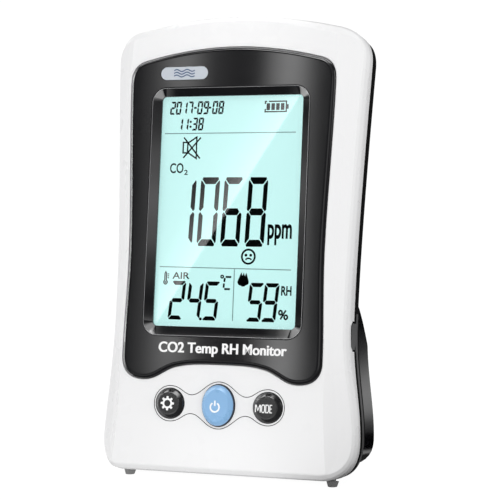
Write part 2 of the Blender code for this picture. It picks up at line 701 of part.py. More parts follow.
def add_battery(build):
    depth, height = BATTERY_AT
    end = BATTERY_HALF_LENGTH
    radius = BATTERY_RADIUS
    cell = ((radius - 0.6, -end), (radius, -end + 0.6), (radius, end - 0.8), (radius - 0.8, end),
            (3.2, end), (3.2, end + 1.2))
    build.add("battery", along_x(cell), CELL)
    tray = block((-37.6, 37.6), (SEAT + GAP, 38.0), (height - 11.6, height + 11.6))
    holder = build.add("battery_holder", tray, CHIP)
    bay = block((-36, 36), (depth - radius - 0.4, 45), (height - 9.5, height + 9.5))
    build.cut(holder, "bay", bay)
    plate_z = (height - 5, height + 5)
    build.add("battery_contact", block((34.4, 35.0), (depth - 8.9, depth + 2), plate_z), STEEL)
    build.add("battery_spring", coil_spring(-35.2, -33.4, (5.2, 3.0), 2.5, 0.35), STEEL)
    right = [(35.4, 42.6, 27), (36.8, 42, 31), (36.8, 39.6, 37), (36.6, 37.6, 41), (35.2, 31, 42.6),
             (32.2, 28.4, 44.2), (31.2, 24.5, 45), (29.4, 21.6, 51), (27.6, 19, 57.4)]
    left = [(-36.8, 39.2, 33), (-36.8, 39.4, 37.5), (-36.8, 37.8, 41), (-36, 31, 42),
            (-30, 28.4, 43), (0, 28.2, 43), (22, 28.2, 43.4), (28.6, 27.6, 44.6), (28.8, 24.5, 45),
            (26.4, 21.6, 51), (24.5, 19, 57.4)]
    wire(build, "battery_wire_red", right, RED)
    wire(build, "battery_wire_black", left, JACKET)


# ---------------------------------------------------------------- fasteners and feet

def screw_mesh(x, z, seat, head, length, shank, head_height):
    """A pan-head screw whose tip points to the front of the case."""
    profile = ((0.8 * head, seat + head_height), (head, seat + 0.6 * head_height), (head, seat),
               (shank, seat), (shank, seat - length + shank), (0.3 * shank, seat - length))
    return turned(x, z, profile, 10)


def drive_cutter(x, z, top, reach):
    """A cross-shaped recess in a screw's head."""
    arm = 0.4
    points = [(reach, -arm), (reach, arm), (arm, arm), (arm, reach), (-arm, reach), (-arm, arm),
              (-reach, arm), (-reach, -arm), (-arm, -arm), (-arm, -reach), (arm, -reach), (arm, -arm)]
    return prism([(x + u, z + v) for u, v in points], top - 1.0, top + 1)


def add_screws(build):
    groups = (("housing_screw", CORNER_SCREWS, SCREW_SEAT + GAP, 2.8, 12.5, 1.0, 1.9),
              ("board_screw", BOARD_SCREWS, BOARD_REAR + GAP, 2.3, 8.5, 0.9, 1.5),
              ("pod_screw", POD_SCREWS, POD_SCREW_SEAT + GAP, 2.7, 12.5, 1.0, 1.9))
    for name, places, seat, head, length, shank, head_height in groups:
        for number, (x, z) in enumerate(places, start=1):
            body = screw_mesh(x, z, seat, head, length, shank, head_height)
            screw = build.add(f"{name}_{number}", body, STEEL)
            build.cut(screw, "drive", drive_cutter(x, z, seat + head_height, 0.6 * head))


def desk_height(depth):
    """Height of the desk's plane in the case's frame, at a depth."""
    return (depth * math.sin(LEAN) - STANCE) / math.cos(LEAN)


def foot_stud(x, depth, radius, bottom, top):
    loop = circle(x, depth, radius, 16)
    return lofted([[(u, v, z) for u, v in loop] for z in (bottom, top)])


def foot_mesh(x, depth, radii, top, stud_top):
    """A tapered rubber foot with a flat sole on the desk and a stud up into the case."""
    stud, upper, sole = radii
    rows = [[(u, v, desk_height(v)) for u, v in circle(x, depth, sole, 20)]]
    rows += [[(u, v, z) for u, v in circle(x, depth, radius, 20)]
             for radius, z in ((upper, top), (stud, top), (stud, stud_top))]
    return lofted(rows)


def add_feet(build):
    for side, hand in ((-1, "left"), (1, "right")):
        front = foot_mesh(side * FRONT_FOOT[0], FRONT_FOOT[1], (1.4, 2.6, 1.9), -GAP, 2.0)
        build.add(f"front_foot_{hand}", front, RUBBER)
        rear = foot_mesh(side * REAR_FOOT[0], REAR_FOOT[1], (1.4, 3.4, 3.0), 4.5, 7.0)
        build.add(f"rear_foot_{hand}", rear, RUBBER)


# ---------------------------------------------------------------- assembly

def stand_on_desk(case):
    """Leans the case back and puts the middle of its footprint at the origin, soles at zero."""
    case.rotation_euler = (-LEAN, 0, 0)
    case.location = (0, 0, STANCE * MM)
    bpy.context.view_layer.update()
    scene = bpy.context.evaluated_depsgraph_get()
    depths = []
    for item in case.children:
        if not item.hide_render:
            shaped = item.evaluated_get(scene)
            solid = shaped.to_mesh()
            depths += [(item.matrix_world @ vertex.co).y for vertex in solid.vertices]
            shaped.to_mesh_clear()
    case.location.y = -(min(depths) + max(depths)) / 2


def main():
    for item in list(bpy.data.objects):
        bpy.data.objects.remove(item, do_unlink=True)
    build = Builder()
    add_front_housing(build)
    add_bezel(build)
    add_display(build)
    add_buttons(build)
    add_electronics(build)
    add_rear_housing(build)
    add_pod_cover(build)
    add_battery(build)
    add_screws(build)
    add_feet(build)
    stand_on_desk(build.case)


main()
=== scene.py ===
"""Looks of the carbon dioxide monitor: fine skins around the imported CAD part, its finishes and its studio.

New pieces are modelled in the case's own frame, in millimetres: x to the right, y from the flat
front panel towards the back, z up along the case. case_frame() reads how the case leans from the
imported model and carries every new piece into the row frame.
"""
import json
import math

import bmesh
import bpy
import numpy as np
from mathutils import Matrix, Vector
from mathutils.geometry import tessellate_polygon

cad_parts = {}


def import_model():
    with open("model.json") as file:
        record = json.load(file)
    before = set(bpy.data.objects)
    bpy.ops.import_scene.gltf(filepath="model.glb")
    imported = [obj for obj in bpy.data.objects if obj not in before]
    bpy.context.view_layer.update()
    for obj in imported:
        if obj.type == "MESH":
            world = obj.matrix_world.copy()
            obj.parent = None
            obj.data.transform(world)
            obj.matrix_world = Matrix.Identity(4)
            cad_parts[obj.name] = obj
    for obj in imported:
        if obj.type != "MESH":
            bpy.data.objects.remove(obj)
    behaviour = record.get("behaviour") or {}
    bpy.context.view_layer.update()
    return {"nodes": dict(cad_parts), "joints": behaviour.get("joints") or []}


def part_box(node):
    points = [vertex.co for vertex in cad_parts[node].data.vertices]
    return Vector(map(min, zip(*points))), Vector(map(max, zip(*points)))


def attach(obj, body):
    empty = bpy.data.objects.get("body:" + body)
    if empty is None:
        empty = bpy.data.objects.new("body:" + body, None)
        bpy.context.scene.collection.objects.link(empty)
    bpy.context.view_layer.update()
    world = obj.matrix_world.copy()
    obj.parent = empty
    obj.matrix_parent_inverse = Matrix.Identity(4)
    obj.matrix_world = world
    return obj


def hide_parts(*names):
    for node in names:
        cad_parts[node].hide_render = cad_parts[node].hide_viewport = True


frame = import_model()
NODES = frame["nodes"]

MM = 0.001

# Case, as in the CAD source
GAP = 0.3
WALL = 2.4
PARTING = 19.5
CREASE_SIDE, CREASE_TOP, CREASE_BOTTOM = 0.9, 3.9, 2.5
FACET_FALL, FACET_FALL_HIP = 0.84, 0.98
HIP_TOP, HIP_BOTTOM = 62.0, 22.0
REAR_FACE = 28.4
SEAT, SEAT_TOP = 26.6, 74.2
POD_TOP, POD_REAR, POD_LIFT = 73.8, 53.0, 4.0
PORT_Z = 58.5
CORNER_SCREWS = ((-40, 171), (40, 171), (-40, 14), (40, 14))
POD_SCREWS = ((-41.5, 38), (41.5, 38))
SCREW_SEAT, POD_SCREW_SEAT = 22.0, 49.6

# Display and bezel
WINDOW_EDGE = (30.9, 60.1, 156.0)
RECESS_EDGE = (34.3, 56.2, 159.2)
SLOPE_DROP = 2.25
BEZEL_RISE = 1.2
LIP_DEPTH = 1.9
WINDOW_FRONT = 2.2
LCD_FRONT = 3.5
BADGE = (-20.6, 165.4, 10.4, 2.7)

# Buttons
BUTTON_X, BUTTON_Z = 21.16, 28.36
CAP_RADIUS, CAP_RISE = 6.1, 1.8
POWER_CAP, POWER_RISE = (6.95, 8.4), 3.0
FLANGE = 0.45
PLATE_THICKNESS = 0.9
PLATE_HALF_HEIGHT = 9.8
STEM_END = 9.4

# Camera
VIEW_AZIMUTH, VIEW_ELEVATION = 19.0, 2.235
VIEW_DISTANCE = 645.674
VIEW_SHIFT = (-10.194, -3.165)
LENS = 113.434

# Outlines, right half, from the bottom centre to the top centre: a start point, then stretches
# of (first handle, second handle, end point, steps); a stretch without handles is straight.
CASE_OUTLINE = ((0, 0),
                (None, None, (42.5, 0), 3),
                ((50, 0), (54.9, 5.5), (54.9, 15), 5),
                ((54.9, 31), (50.4, 44), (50.6, 64), 6),
                ((50.6, 95), (53, 140), (54.7, 171), 6),
                ((55, 178.5), (52.2, 182.4), (46.5, 184.2), 6),
                ((33, 187.7), (16, 190), (0, 190), 5))
PANEL_EDGE = ((46.6, 0),
              ((45, 12), (43.9, 28), (43.9, 44), 8),
              ((43.9, 60), (43.1, 72), (43.1, 88), 8),
              ((43.1, 108), (44.9, 136), (45.3, 158), 8),
              ((45.5, 168), (44.6, 178), (44.2, 190), 8))
BEZEL_OUTLINE = ((0, 45),
                 ((8, 45), (13.5, 44.9), (17.5, 43.9), 5),
                 ((24.5, 42.8), (27, 38), (33.4, 38), 6),
                 ((39.5, 38), (43.3, 41), (43.2, 48), 6),
                 ((43.3, 62), (42.35, 74), (42.35, 88), 5),
                 ((42.35, 108), (44.2, 136), (44.7, 160), 6),
                 ((45, 168.5), (41.5, 170.3), (37, 171.3), 6),
                 ((25, 174.3), (12, 176.1), (0, 176.1), 6))
PLATE_QUARTER = ((0, 9.4),
                 ((5.2, 9.4), (7.6, 3.9), (11.6, 3.7), 7),
                 ((15.2, 3.5), (16.4, 7.1), (21.16, 7.1), 5),
                 ((25.0, 7.1), (28.0, 3.93), (28.0, 0), 6))
POD_CREST = ((SEAT + GAP, POD_TOP),
             ((33.5, 70.5), (43.5, 62.5), (47.6, 55), 7),
             ((51.5, 48), (POD_REAR + 1, 44), (POD_REAR + 1, 38), 5))


# ---------------------------------------------------------------- frame

def case_frame():
    """The case's frame in the row frame, read from the joints' axis and the button plate."""
    lean = -math.asin(frame["joints"][0]["axis"][2])
    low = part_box("button_plate")[0] / MM
    foot = BUTTON_Z - PLATE_HALF_HEIGHT
    place = Vector((0, low.y - foot * math.sin(lean),
                    low.z + PLATE_THICKNESS * math.sin(lean) - foot * math.cos(lean)))
    return Matrix.Translation(place * MM) @ Matrix.Rotation(-lean, 4, "X")


CASE = case_frame()


def world(x, y, z):
    return CASE @ (Vector((x, y, z)) * MM)


# ---------------------------------------------------------------- outlines

def trace(outline, finer=4):
    """The points of an outline, with more steps than the CAD takes."""
    points = [outline[0]]
    for handle_a, handle_b, end, steps in outline[1:]:
        start = points[-1]
        for step in range(1, steps * finer + 1):
            t = step / (steps * finer)
            if handle_a is None:
                weights, handles = (1 - t, 0, 0, t), (start, end)
            else:
                weights = ((1 - t) ** 3, 3 * t * (1 - t) ** 2, 3 * t * t * (1 - t), t ** 3)
                handles = (handle_a, handle_b)
            corners = (start, *handles, end)
            points.append(tuple(sum(w * c[axis] for w, c in zip(weights, corners)) for axis in (0, 1)))
    return points


def mirrored(half):
    """A closed loop, anticlockwise from the front, from its right half."""
    return half + [(-x, z) for x, z in reversed(half[1:-1])]


def inset(loop, distance):
    """The loop moved inwards; distance is a number or a function of a point and its normal."""
    moved = []
    for index, (x, z) in enumerate(loop):
        before = loop[index - 1]
        after = loop[(index + 1) % len(loop)]
        along = (after[0] - before[0], after[1] - before[1])
        length = math.hypot(*along) or 1.0
        normal = (along[1] / length, -along[0] / length)
        step = distance(x, z, normal) if callable(distance) else distance
        moved.append((x - normal[0] * step, z - normal[1] * step))
    return moved


def ring(loop, depth):
    """A loop placed at a depth; depth is a number or one value for each point."""
    depths = depth if isinstance(depth, list) else [depth] * len(loop)
    return [(x, y, z) for (x, z), y in zip(loop, depths)]


def ellipse(x, z, half_width, half_height, count=96):
    angles = [2 * math.pi * index / count for index in range(count)]
    return [(x + half_width * math.sin(a), z - half_height * math.cos(a)) for a in angles]


def rounded_rectangle(half_width, bottom, top, radius, x=0.0, steps=10):
    points = []
    corners = ((1, bottom + radius, -90), (1, top - radius, 0), (-1, top - radius, 90),
               (-1, bottom + radius, 180))
    for side, centre_z, first in corners:
        for step in range(steps + 1):
            angle = math.radians(first + 90 * step / steps)
            points.append((x + side * (half_width - radius) + radius * math.cos(angle),
                           centre_z + radius * math.sin(angle)))
    return points


def grown(edge, amount):
    return edge[0] + amount, edge[1] - amount, edge[2] + amount


def smooth(value):
    value = min(1.0, max(0.0, value))
    return value * value * (3 - 2 * value)


def rounded(path, radii, steps=4):
    """A path with its inner corners rounded; a radius of zero keeps the corner."""
    path = [Vector(point) for point in path]
    out = [path[0]]
    for before, corner, after, radius in zip(path, path[1:], path[2:], radii):
        back, ahead = before - corner, after - corner
        if radius == 0:
            out.append(corner)
            continue
        if back.length < 1e-6 or ahead.length < 1e-6:
            out += [corner] * (steps + 1)
            continue
        half = back.angle(ahead) / 2
        reach = min(radius / max(math.tan(half), 1e-3), 0.45 * back.length, 0.45 * ahead.length)
        start = corner + back.normalized() * reach
        end = corner + ahead.normalized() * reach
        for step in range(steps + 1):
            t = step / steps
            out.append(start * (1 - t) ** 2 + corner * 2 * t * (1 - t) + end * t * t)
    out.append(path[-1])
    return out


def rounded_rings(rings, radii, steps=4):
    """Rings of equally many points, with rounded rows put in where the surface turns."""
    return list(zip(*[rounded(column, radii, steps) for column in zip(*rings)]))


# ---------------------------------------------------------------- meshes

class Skin:
    """A solid in the making, in the case's frame."""

    def __init__(self):
        self.mesh = bmesh.new()

    def row(self, points):
        return [self.mesh.verts.new(point) for point in points]

    def band(self, rows):
        for row, following in zip(rows, rows[1:]):
            for index in range(len(row)):
                after = (index + 1) % len(row)
                self.mesh.faces.new((row[index], row[after], following[after], following[index]))

    def loft(self, rings):
        """Rows of quads through the rings; gives the first and the last row of vertices."""
        rows = [self.row(points) for points in rings]
        self.band(rows)
        return rows[0], rows[-1]

    def fill(self, *loops, across=(0, 2)):
        """A flat face within the first loop, with the others as holes."""
        flat = [[Vector((v.co[across[0]], v.co[across[1]], 0)) for v in loop] for loop in loops]
        corners = [vertex for loop in loops for vertex in loop]
        for triangle in tessellate_polygon(flat):
            picked = [corners[index] for index in triangle]
            if len(set(picked)) == 3:
                self.mesh.faces.new(picked)

    def solid(self, rings, across=(0, 2)):
        """A closed solid through rings, flat at both ends."""
        first, last = self.loft(rings)
        self.fill(first, across=across)
        self.fill(last, across=across)

    def slab(self, loops, front, rear):
        """A flat plate with holes."""
        ends = [self.loft([ring(loop, front), ring(loop, rear)]) for loop in loops]
        self.fill(*[first for first, last in ends])
        self.fill(*[last for first, last in ends])

    def data(self, name):
        bmesh.ops.remove_doubles(self.mesh, verts=self.mesh.verts, dist=1e-5)
        bmesh.ops.recalc_face_normals(self.mesh, faces=self.mesh.faces)
        self.mesh.transform(CASE @ Matrix.Scale(MM, 4))
        data = bpy.data.meshes.new(name)
        self.mesh.to_mesh(data)
        self.mesh.free()
        return data


def show(name, data, look, body="case", stands_for=(), sharp=40):
    """Puts a finished mesh in the scene, on a CAD body."""
    piece = bpy.data.objects.new(name, data)
    bpy.context.scene.collection.objects.link(piece)
    data.materials.clear()
    data.materials.append(look)
    data.shade_smooth()
    data.set_sharp_from_angle(angle=math.radians(sharp))
    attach(piece, body)
    if stands_for:
        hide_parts(*stands_for)
    return piece


def carved(data, *cutters):
    """The mesh with closed meshes cut out of it, or joined on: cutters are (operation, mesh)."""
    item = bpy.data.objects.new("carving", data)
    bpy.context.scene.collection.objects.link(item)
    tools = []
    for operation, mesh in cutters:
        tool = bpy.data.objects.new("tool", mesh)
        bpy.context.scene.collection.objects.link(tool)
        tools.append(tool)
        change = item.modifiers.new("carve", "BOOLEAN")
        change.operation = operation
        change.object = tool
        change.solver = "EXACT"
    graph = bpy.context.evaluated_depsgraph_get()
    result = bpy.data.meshes.new_from_object(item.evaluated_get(graph))
    for used in [item] + tools:
        bpy.data.objects.remove(used, do_unlink=True)
    return result


# ---------------------------------------------------------------- finishes

class Look:
    """A material whose nodes are linked by name."""

    def __init__(self, name):
        self.material = bpy.data.materials.new(name)
        self.material.use_nodes = True
        self.nodes = self.material.node_tree.nodes
        self.links = self.material.node_tree.links
        self.shader = self.nodes["Principled BSDF"]
        self.output = self.nodes["Material Output"]

    def node(self, kind, inputs=None, **settings):
        node = self.nodes.new(kind)
        for key, value in settings.items():
            setattr(node, key, value)
        for key, value in (inputs or {}).items():
            self.feed(value, node.inputs[key])
        return node

    def feed(self, value, socket):
        if isinstance(value, bpy.types.NodeSocket):
            self.links.new(value, socket)
        else:
            socket.default_value = value

    def set(self, **inputs):
        for key, value in inputs.items():
            self.feed(value, self.shader.inputs[key.replace("_", " ")])

    def grain(self, scale, detail=3.0, roughness=0.6, stretch=(1, 1, 1)):
        where = self.node("ShaderNodeTexCoord").outputs["Object"]
        if stretch != (1, 1, 1):
            where = self.node("ShaderNodeMapping", {"Vector": where, "Scale": stretch}).outputs[0]
        return self.node("ShaderNodeTexNoise", {"Vector": where, "Scale": scale, "Detail": detail,
                                                "Roughness": roughness}).outputs["Fac"]

    def span(self, value, low, high):
        return self.node("ShaderNodeMapRange", {"Value": value, "To Min": low, "To Max": high}).outputs[0]

    def mix(self, share, first, second):
        node = self.node("ShaderNodeMix", data_type="RGBA")
        self.feed(share, node.inputs[0])
        self.feed(first, node.inputs[6])
        self.feed(second, node.inputs[7])
        return node.outputs[2]


def tone(colour, factor):
    return tuple(min(1.0, value * factor) for value in colour) + (1.0,)


def finish(name, colour, roughness, metallic=0.0, spread=0.04, scale=180.0, bump=0.0, stretch=(1, 1, 1),
           specular=0.5, coat=0.0):
    """A surface whose colour, gloss and relief vary a little, all from noise."""
    look = Look(name)
    noise = look.grain(scale, stretch=stretch)
    look.set(Base_Color=look.mix(noise, tone(colour, 1 - spread), tone(colour, 1 + spread)),
             Roughness=look.span(noise, max(0.02, roughness - 0.04), roughness + 0.04),
             Metallic=metallic, Specular_IOR_Level=specular, Coat_Weight=coat, Coat_Roughness=0.05)
    if bump:
        relief = look.node("ShaderNodeBump", {"Height": noise, "Strength": bump, "Distance": 0.0001})
        look.set(Normal=relief.outputs[0])
    return look.material


SHELL_WHITE = finish("shell_white", (0.87, 0.87, 0.875), 0.28, spread=0.008, scale=60, specular=0.12)
BEZEL_BLACK = finish("bezel_black", (0.008, 0.008, 0.009), 0.05, spread=0.10, scale=40)
# Painted highlight: a light grey line painted on the bezel's edges where they would catch light.
HIGHLIGHT_GREY = finish("bezel_painted_highlight", (0.20, 0.20, 0.205), 0.3, spread=0.05, scale=200)
POD_BLACK = finish("pod_black", (0.005, 0.005, 0.006), 0.10, spread=0.10, scale=40)
REAR_DARK = finish("rear_dark", (0.09, 0.09, 0.092), 0.42, spread=0.06, scale=420, bump=0.2)
# Painted shade: near-black painted into grooves and gaps, and on the edges beside them, where shade falls.
SHADE_BLACK = finish("painted_shade_black", (0.004, 0.004, 0.004), 0.6, spread=0.1, scale=400, specular=0.1)
CAP_DARK = finish("cap_dark", (0.016, 0.016, 0.017), 0.16, spread=0.10, scale=300, specular=0.9)
CAP_BLUE = finish("cap_blue", (0.24, 0.45, 0.72), 0.28, spread=0.03, scale=200)
# Painted shade: a dark navy copy of the blue cap's finish, painted low on the power cap's side.
CAP_BLUE_SHADE = finish("cap_navy", (0.012, 0.022, 0.05), 0.35, spread=0.05, scale=300)
PRINT_WHITE = finish("print_white", (0.90, 0.90, 0.90), 0.5, spread=0.02, scale=500)
SILVER = finish("badge_silver", (0.52, 0.56, 0.61), 0.35, metallic=0.15, spread=0.05, scale=900,
                stretch=(1, 1, 12))
NAVY = finish("badge_navy", (0.02, 0.06, 0.16), 0.35, spread=0.05, scale=500)

INNER_LOOKS = {
    "white_abs": SHELL_WHITE,
    "gloss_black_abs": BEZEL_BLACK,
    "dark_abs": REAR_DARK,
    "blue_button_plastic": CAP_BLUE,
    "diffuser_acrylic": finish("diffuser", (0.92, 0.94, 0.93), 0.45, spread=0.02, scale=300),
    "natural_plastic": finish("natural", (0.78, 0.76, 0.69), 0.5, spread=0.03, scale=350, bump=0.1),
    "board_laminate": finish("laminate", (0.02, 0.17, 0.08), 0.38, spread=0.25, scale=900, bump=0.15,
                             stretch=(1, 1, 3)),
    "chip_epoxy": finish("epoxy", (0.025, 0.025, 0.027), 0.55, spread=0.2, scale=1500, bump=0.2),
    "gilt_metal": finish("gilt", (0.78, 0.60, 0.27), 0.3, metallic=1.0, spread=0.06, scale=600,
                         stretch=(1, 1, 8)),
    "plated_steel": finish("steel", (0.66, 0.67, 0.69), 0.3, metallic=1.0, spread=0.06, scale=900),
    "filter_membrane": finish("membrane", (0.88, 0.88, 0.85), 0.9, spread=0.06, scale=2500, bump=0.5),
    "battery_sleeve": finish("sleeve", (0.08, 0.30, 0.52), 0.32, spread=0.05, scale=150),
    "grey_rubber": finish("rubber", (0.22, 0.22, 0.22), 0.8, spread=0.15, scale=1200, bump=0.4),
    "flex_laminate": finish("flex", (0.50, 0.25, 0.06), 0.36, spread=0.08, scale=400),
    "red_wire": finish("wire_red", (0.60, 0.02, 0.02), 0.4, spread=0.05, scale=500),
    "black_wire": finish("wire_black", (0.02, 0.02, 0.02), 0.4, spread=0.1, scale=500),
    "badge_foil": SILVER,
}


def direction(azimuth, elevation):
    a, e = math.radians(azimuth), math.radians(elevation)
    return Vector((math.sin(a) * math.cos(e), -math.cos(a) * math.cos(e), math.sin(e)))


def display_look():
    """Pale cyan glass, lit from behind: a little lighter towards the top, with a faint random variation."""
    look = Look("display_cyan")
    where = look.node("ShaderNodeTexCoord").outputs["Generated"]
    parts = look.node("ShaderNodeSeparateXYZ", {"Vector": where}).outputs
    rise = look.span(parts[2], 0.0, 1.0)
    noise = look.grain(35)
    low, high = (0.575, 0.905, 0.885, 1), (0.60, 0.925, 0.905, 1)
    tint = look.mix(look.mix(0.25, rise, noise), low, high)
    look.set(Base_Color=(0.20, 0.34, 0.33, 1), Roughness=0.35, Specular_IOR_Level=0.2,
             Emission_Color=tint, Emission_Strength=0.78)
    return look.material


def window_look():
    """Clear acrylic: what is behind it, and a mirror image that is fainter away from the front."""
    look = Look("window_clear")
    look.nodes.remove(look.shader)
    clear = look.node("ShaderNodeBsdfTransparent")
    noise = look.grain(90)
    gloss = look.node("ShaderNodeBsdfGlossy", {"Color": (1, 1, 1, 1),
                                               "Roughness": look.span(noise, 0.0, 0.03)})
    seen = look.node("ShaderNodeNewGeometry").outputs["Incoming"]
    front = look.node("ShaderNodeVectorMath", {0: seen, 1: tuple(direction(VIEW_AZIMUTH, VIEW_ELEVATION))},
                      operation="DOT_PRODUCT").outputs["Value"]
    share = look.node("ShaderNodeMapRange", {"Value": front, "From Min": 0.8, "From Max": 0.96,
                                             "To Min": 0.012, "To Max": 0.06}).outputs[0]
    blend = look.node("ShaderNodeMixShader", {0: share, 1: clear.outputs[0], 2: gloss.outputs[0]})
    look.links.new(blend.outputs[0], look.output.inputs[0])
    return look.material


MARK_BLACK = finish("mark_black", (0.002, 0.003, 0.003), 0.6, spread=0.1, scale=300, specular=0.0)
MARK_GREY = finish("mark_grey", (0.16, 0.28, 0.28), 0.6, spread=0.05, scale=300, specular=0.1)
INNER_LOOKS["display_glass"] = display_look()
INNER_LOOKS["clear_acrylic"] = window_look()


def dress_nodes():
    """Every CAD node takes the finish of its record slot."""
    for node in NODES.values():
        slot = node.data.materials[0].name.split(".")[0]
        node.data.materials.clear()
        node.data.materials.append(INNER_LOOKS[slot])


# ---------------------------------------------------------------- front housing

def panel_half_width(z, edge=tuple(zip(*trace(PANEL_EDGE)))):
    """Where the flat front panel ends and the side facets begin, at a height."""
    return float(np.interp(z, edge[1], edge[0]))


def facet_depth(x, z):
    hip = smooth((HIP_TOP - z) / (HIP_TOP - HIP_BOTTOM))
    fall = FACET_FALL + (FACET_FALL_HIP - FACET_FALL) * hip
    return max(0.0, abs(x) - panel_half_width(z)) * fall


def crease_inset(x, z, normal):
    if normal[1] > 0:
        end = 2.6 + (CREASE_TOP - 2.6) * smooth((abs(x) - 12) / 30)
    else:
        end = CREASE_BOTTOM
    return CREASE_SIDE + (end - CREASE_SIDE) * normal[1] ** 2


def clamped_to_panel(loop, margin):
    return [(math.copysign(min(abs(x), panel_half_width(z) - margin), x), z) for x, z in loop]


NOTCH_STEPS = ((6.2, 2.4), (4.15, 4.6))       # half height and depth of each step of a side notch
NOTCH_EDGE = 0.02


def with_notch_points(half):
    """The right half of the case outline with points exactly where a side notch turns."""
    (wide, _), (narrow, _) = NOTCH_STEPS
    levels = [PORT_Z + sign * (size + edge) for sign in (-1, 1)
              for size, edge in ((wide, NOTCH_EDGE), (wide, 0), (narrow, 0))]
    out = [half[0]]
    for (x0, z0), (x1, z1) in zip(half, half[1:]):
        if z1 > z0 and x0 > 40:
            for level in sorted(level for level in levels if z0 + 1e-6 < level < z1 - 1e-6):
                share = (level - z0) / (z1 - z0)
                out.append((x0 + share * (x1 - x0), level))
        out.append((x1, z1))
    return out


def rim_depth(x, z):
    """Depth of the front housing's rim: the seam, less the notch in each side."""
    (wide, knee), (narrow, floor) = NOTCH_STEPS
    away = abs(z - PORT_Z)
    if abs(x) < 44 or away > wide + NOTCH_EDGE / 2:
        return PARTING
    share = min(1.0, (wide - away) / (wide - narrow))
    return PARTING - knee - share * (floor - knee)


def make_front_housing():
    case = mirrored(with_notch_points(trace(CASE_OUTLINE)))
    crease = inset(case, crease_inset)
    depths = [facet_depth(x, z) + 0.25 for x, z in crease]
    panel = clamped_to_panel(inset(crease, 0.5), 0.0)
    support = clamped_to_panel(inset(crease, 1.0), 0.5)
    fold = [tuple(p + 0.45 * (c - p) for p, c in zip(*pair)) for pair in zip(panel, crease)]
    shoulder = [tuple(c + 0.72 * (o - c) for c, o in zip(*pair)) for pair in zip(crease, case)]
    rim = [rim_depth(x, z) for x, z in case]
    outside = [ring(support, 0.0), ring(panel, 0.0), ring(fold, [0.52 * d for d in depths]),
               ring(crease, depths), ring(shoulder, [d + 2.4 for d in depths]),
               ring(case, [d + 6.5 for d in depths]),
               ring(case, [d - 0.25 for d in rim]), ring(inset(case, 0.25), rim)]
    inner = inset(case, WALL)
    inner_crease = inset(crease, WALL)
    inner_panel = clamped_to_panel(inset(inner_crease, 0.6), 1.2)
    inside = [ring(inner, rim), ring(inner, [d + 6.5 for d in depths]),
              ring(inner_crease, [d + 2.3 for d in depths]), ring(inner_panel, WALL)]
    skin = Skin()
    radii = (0.5, 0.8, 0.9, 2.5, 3.0, 0, 0, 0, 0, 0)
    face, floor = skin.loft(rounded_rings(outside + inside, radii))

    pocket = inset(mirrored(trace(BEZEL_OUTLINE)), -GAP)
    opening = rounded_rectangle(37, 54, 162, 5)
    pocket_front, pocket_floor = skin.loft([ring(pocket, 0.0), ring(pocket, 0.12), ring(pocket, 1.4)])
    opening_front, opening_rear = skin.loft([ring(opening, 1.4), ring(opening, WALL)])
    skin.fill(pocket_floor, opening_front)

    plate = inset(plate_outline(0), -GAP)
    plate_front, plate_floor = skin.loft([ring(plate, 0.0), ring(plate, 0.12),
                                          ring(plate, PLATE_THICKNESS + GAP)])
    wells = [skin.loft([ring(well, PLATE_THICKNESS + GAP), ring(well, WALL)])
             for well in button_wells(FLANGE + GAP)]
    skin.fill(plate_floor, *[first for first, last in wells])
    skin.fill(face, pocket_front, plate_front)
    skin.fill(floor, opening_rear, *[last for first, last in wells])
    housing = show("front_housing_skin", skin.data("front_housing_skin"), SHELL_WHITE,
                   stands_for=["front_housing"], sharp=50)
    # Painted shade: the walls and floor of the button plate's pocket, round the plate, are painted near-black.
    paint(housing, SHADE_BLACK, lambda centre: 0.05 < centre.y < WALL and abs(centre.x) < 30
          and abs(centre.z - BUTTON_Z) < 12)


# ---------------------------------------------------------------- bezel

def badge_outline(extra):
    x, z, half_width, half_height = BADGE
    half_height += extra
    return rounded_rectangle(half_width + extra, z - half_height, z + half_height,
                             half_height - 0.001, x=x)


def on_painted_highlight(centre):
    """True where a highlight is painted grey: on the thin edge round the recess and on the bezel's outer edge at
    the top and left.
    """
    half, bottom, top = grown(RECESS_EDGE, 1.0)
    if abs(centre.x) < half and bottom < centre.z < top:
        return 0.015 < centre.y + BEZEL_RISE < 0.08
    return -0.95 < centre.y < -0.2 and (centre.z > 168 or centre.x < -38)


def make_bezel():
    outline = mirrored(trace(BEZEL_OUTLINE))
    skin = Skin()
    crown = [ring(inset(outline, 2.0), -BEZEL_RISE), ring(inset(outline, 1.3), -BEZEL_RISE),
             ring(inset(outline, 0.5), -0.85), ring(inset(outline, 0.12), -0.3),
             ring(outline, 0.1), ring(outline, 1.1)]
    face, back = skin.loft(rounded_rings(crown, (0.5, 0.8, 0.6, 0.4)))

    slope_end = SLOPE_DROP - BEZEL_RISE
    recess = [ring(rounded_rectangle(*grown(RECESS_EDGE, 0.6), 6.9), -BEZEL_RISE),
              ring(rounded_rectangle(*RECESS_EDGE, 6.0), -BEZEL_RISE),
              ring(rounded_rectangle(*WINDOW_EDGE, 1.8), slope_end),
              ring(rounded_rectangle(*WINDOW_EDGE, 1.8), LIP_DEPTH)]
    recess_face, lip = skin.loft(rounded_rings(recess, (0.6, 0.15), 6))
    tub = rounded_rectangle(*grown(RECESS_EDGE, 1.1), 4)
    tub_front, tub_rear = skin.loft([ring(tub, 1.1), ring(tub, LIP_DEPTH)])
    skin.fill(back, tub_front)
    skin.fill(tub_rear, lip)

    pocket = badge_outline(GAP)
    pocket_face, pocket_floor = skin.loft([ring(pocket, -BEZEL_RISE), ring(pocket, 0.5 - BEZEL_RISE)])
    skin.fill(pocket_floor)
    skin.fill(face, recess_face, pocket_face)
    bezel = show("bezel_skin", skin.data("bezel_skin"), BEZEL_BLACK,
                 stands_for=["bezel"], sharp=50)
    # Painted highlight: grey painted round the recess's edge and along the bezel's top and left edges.
    paint(bezel, HIGHLIGHT_GREY, on_painted_highlight)


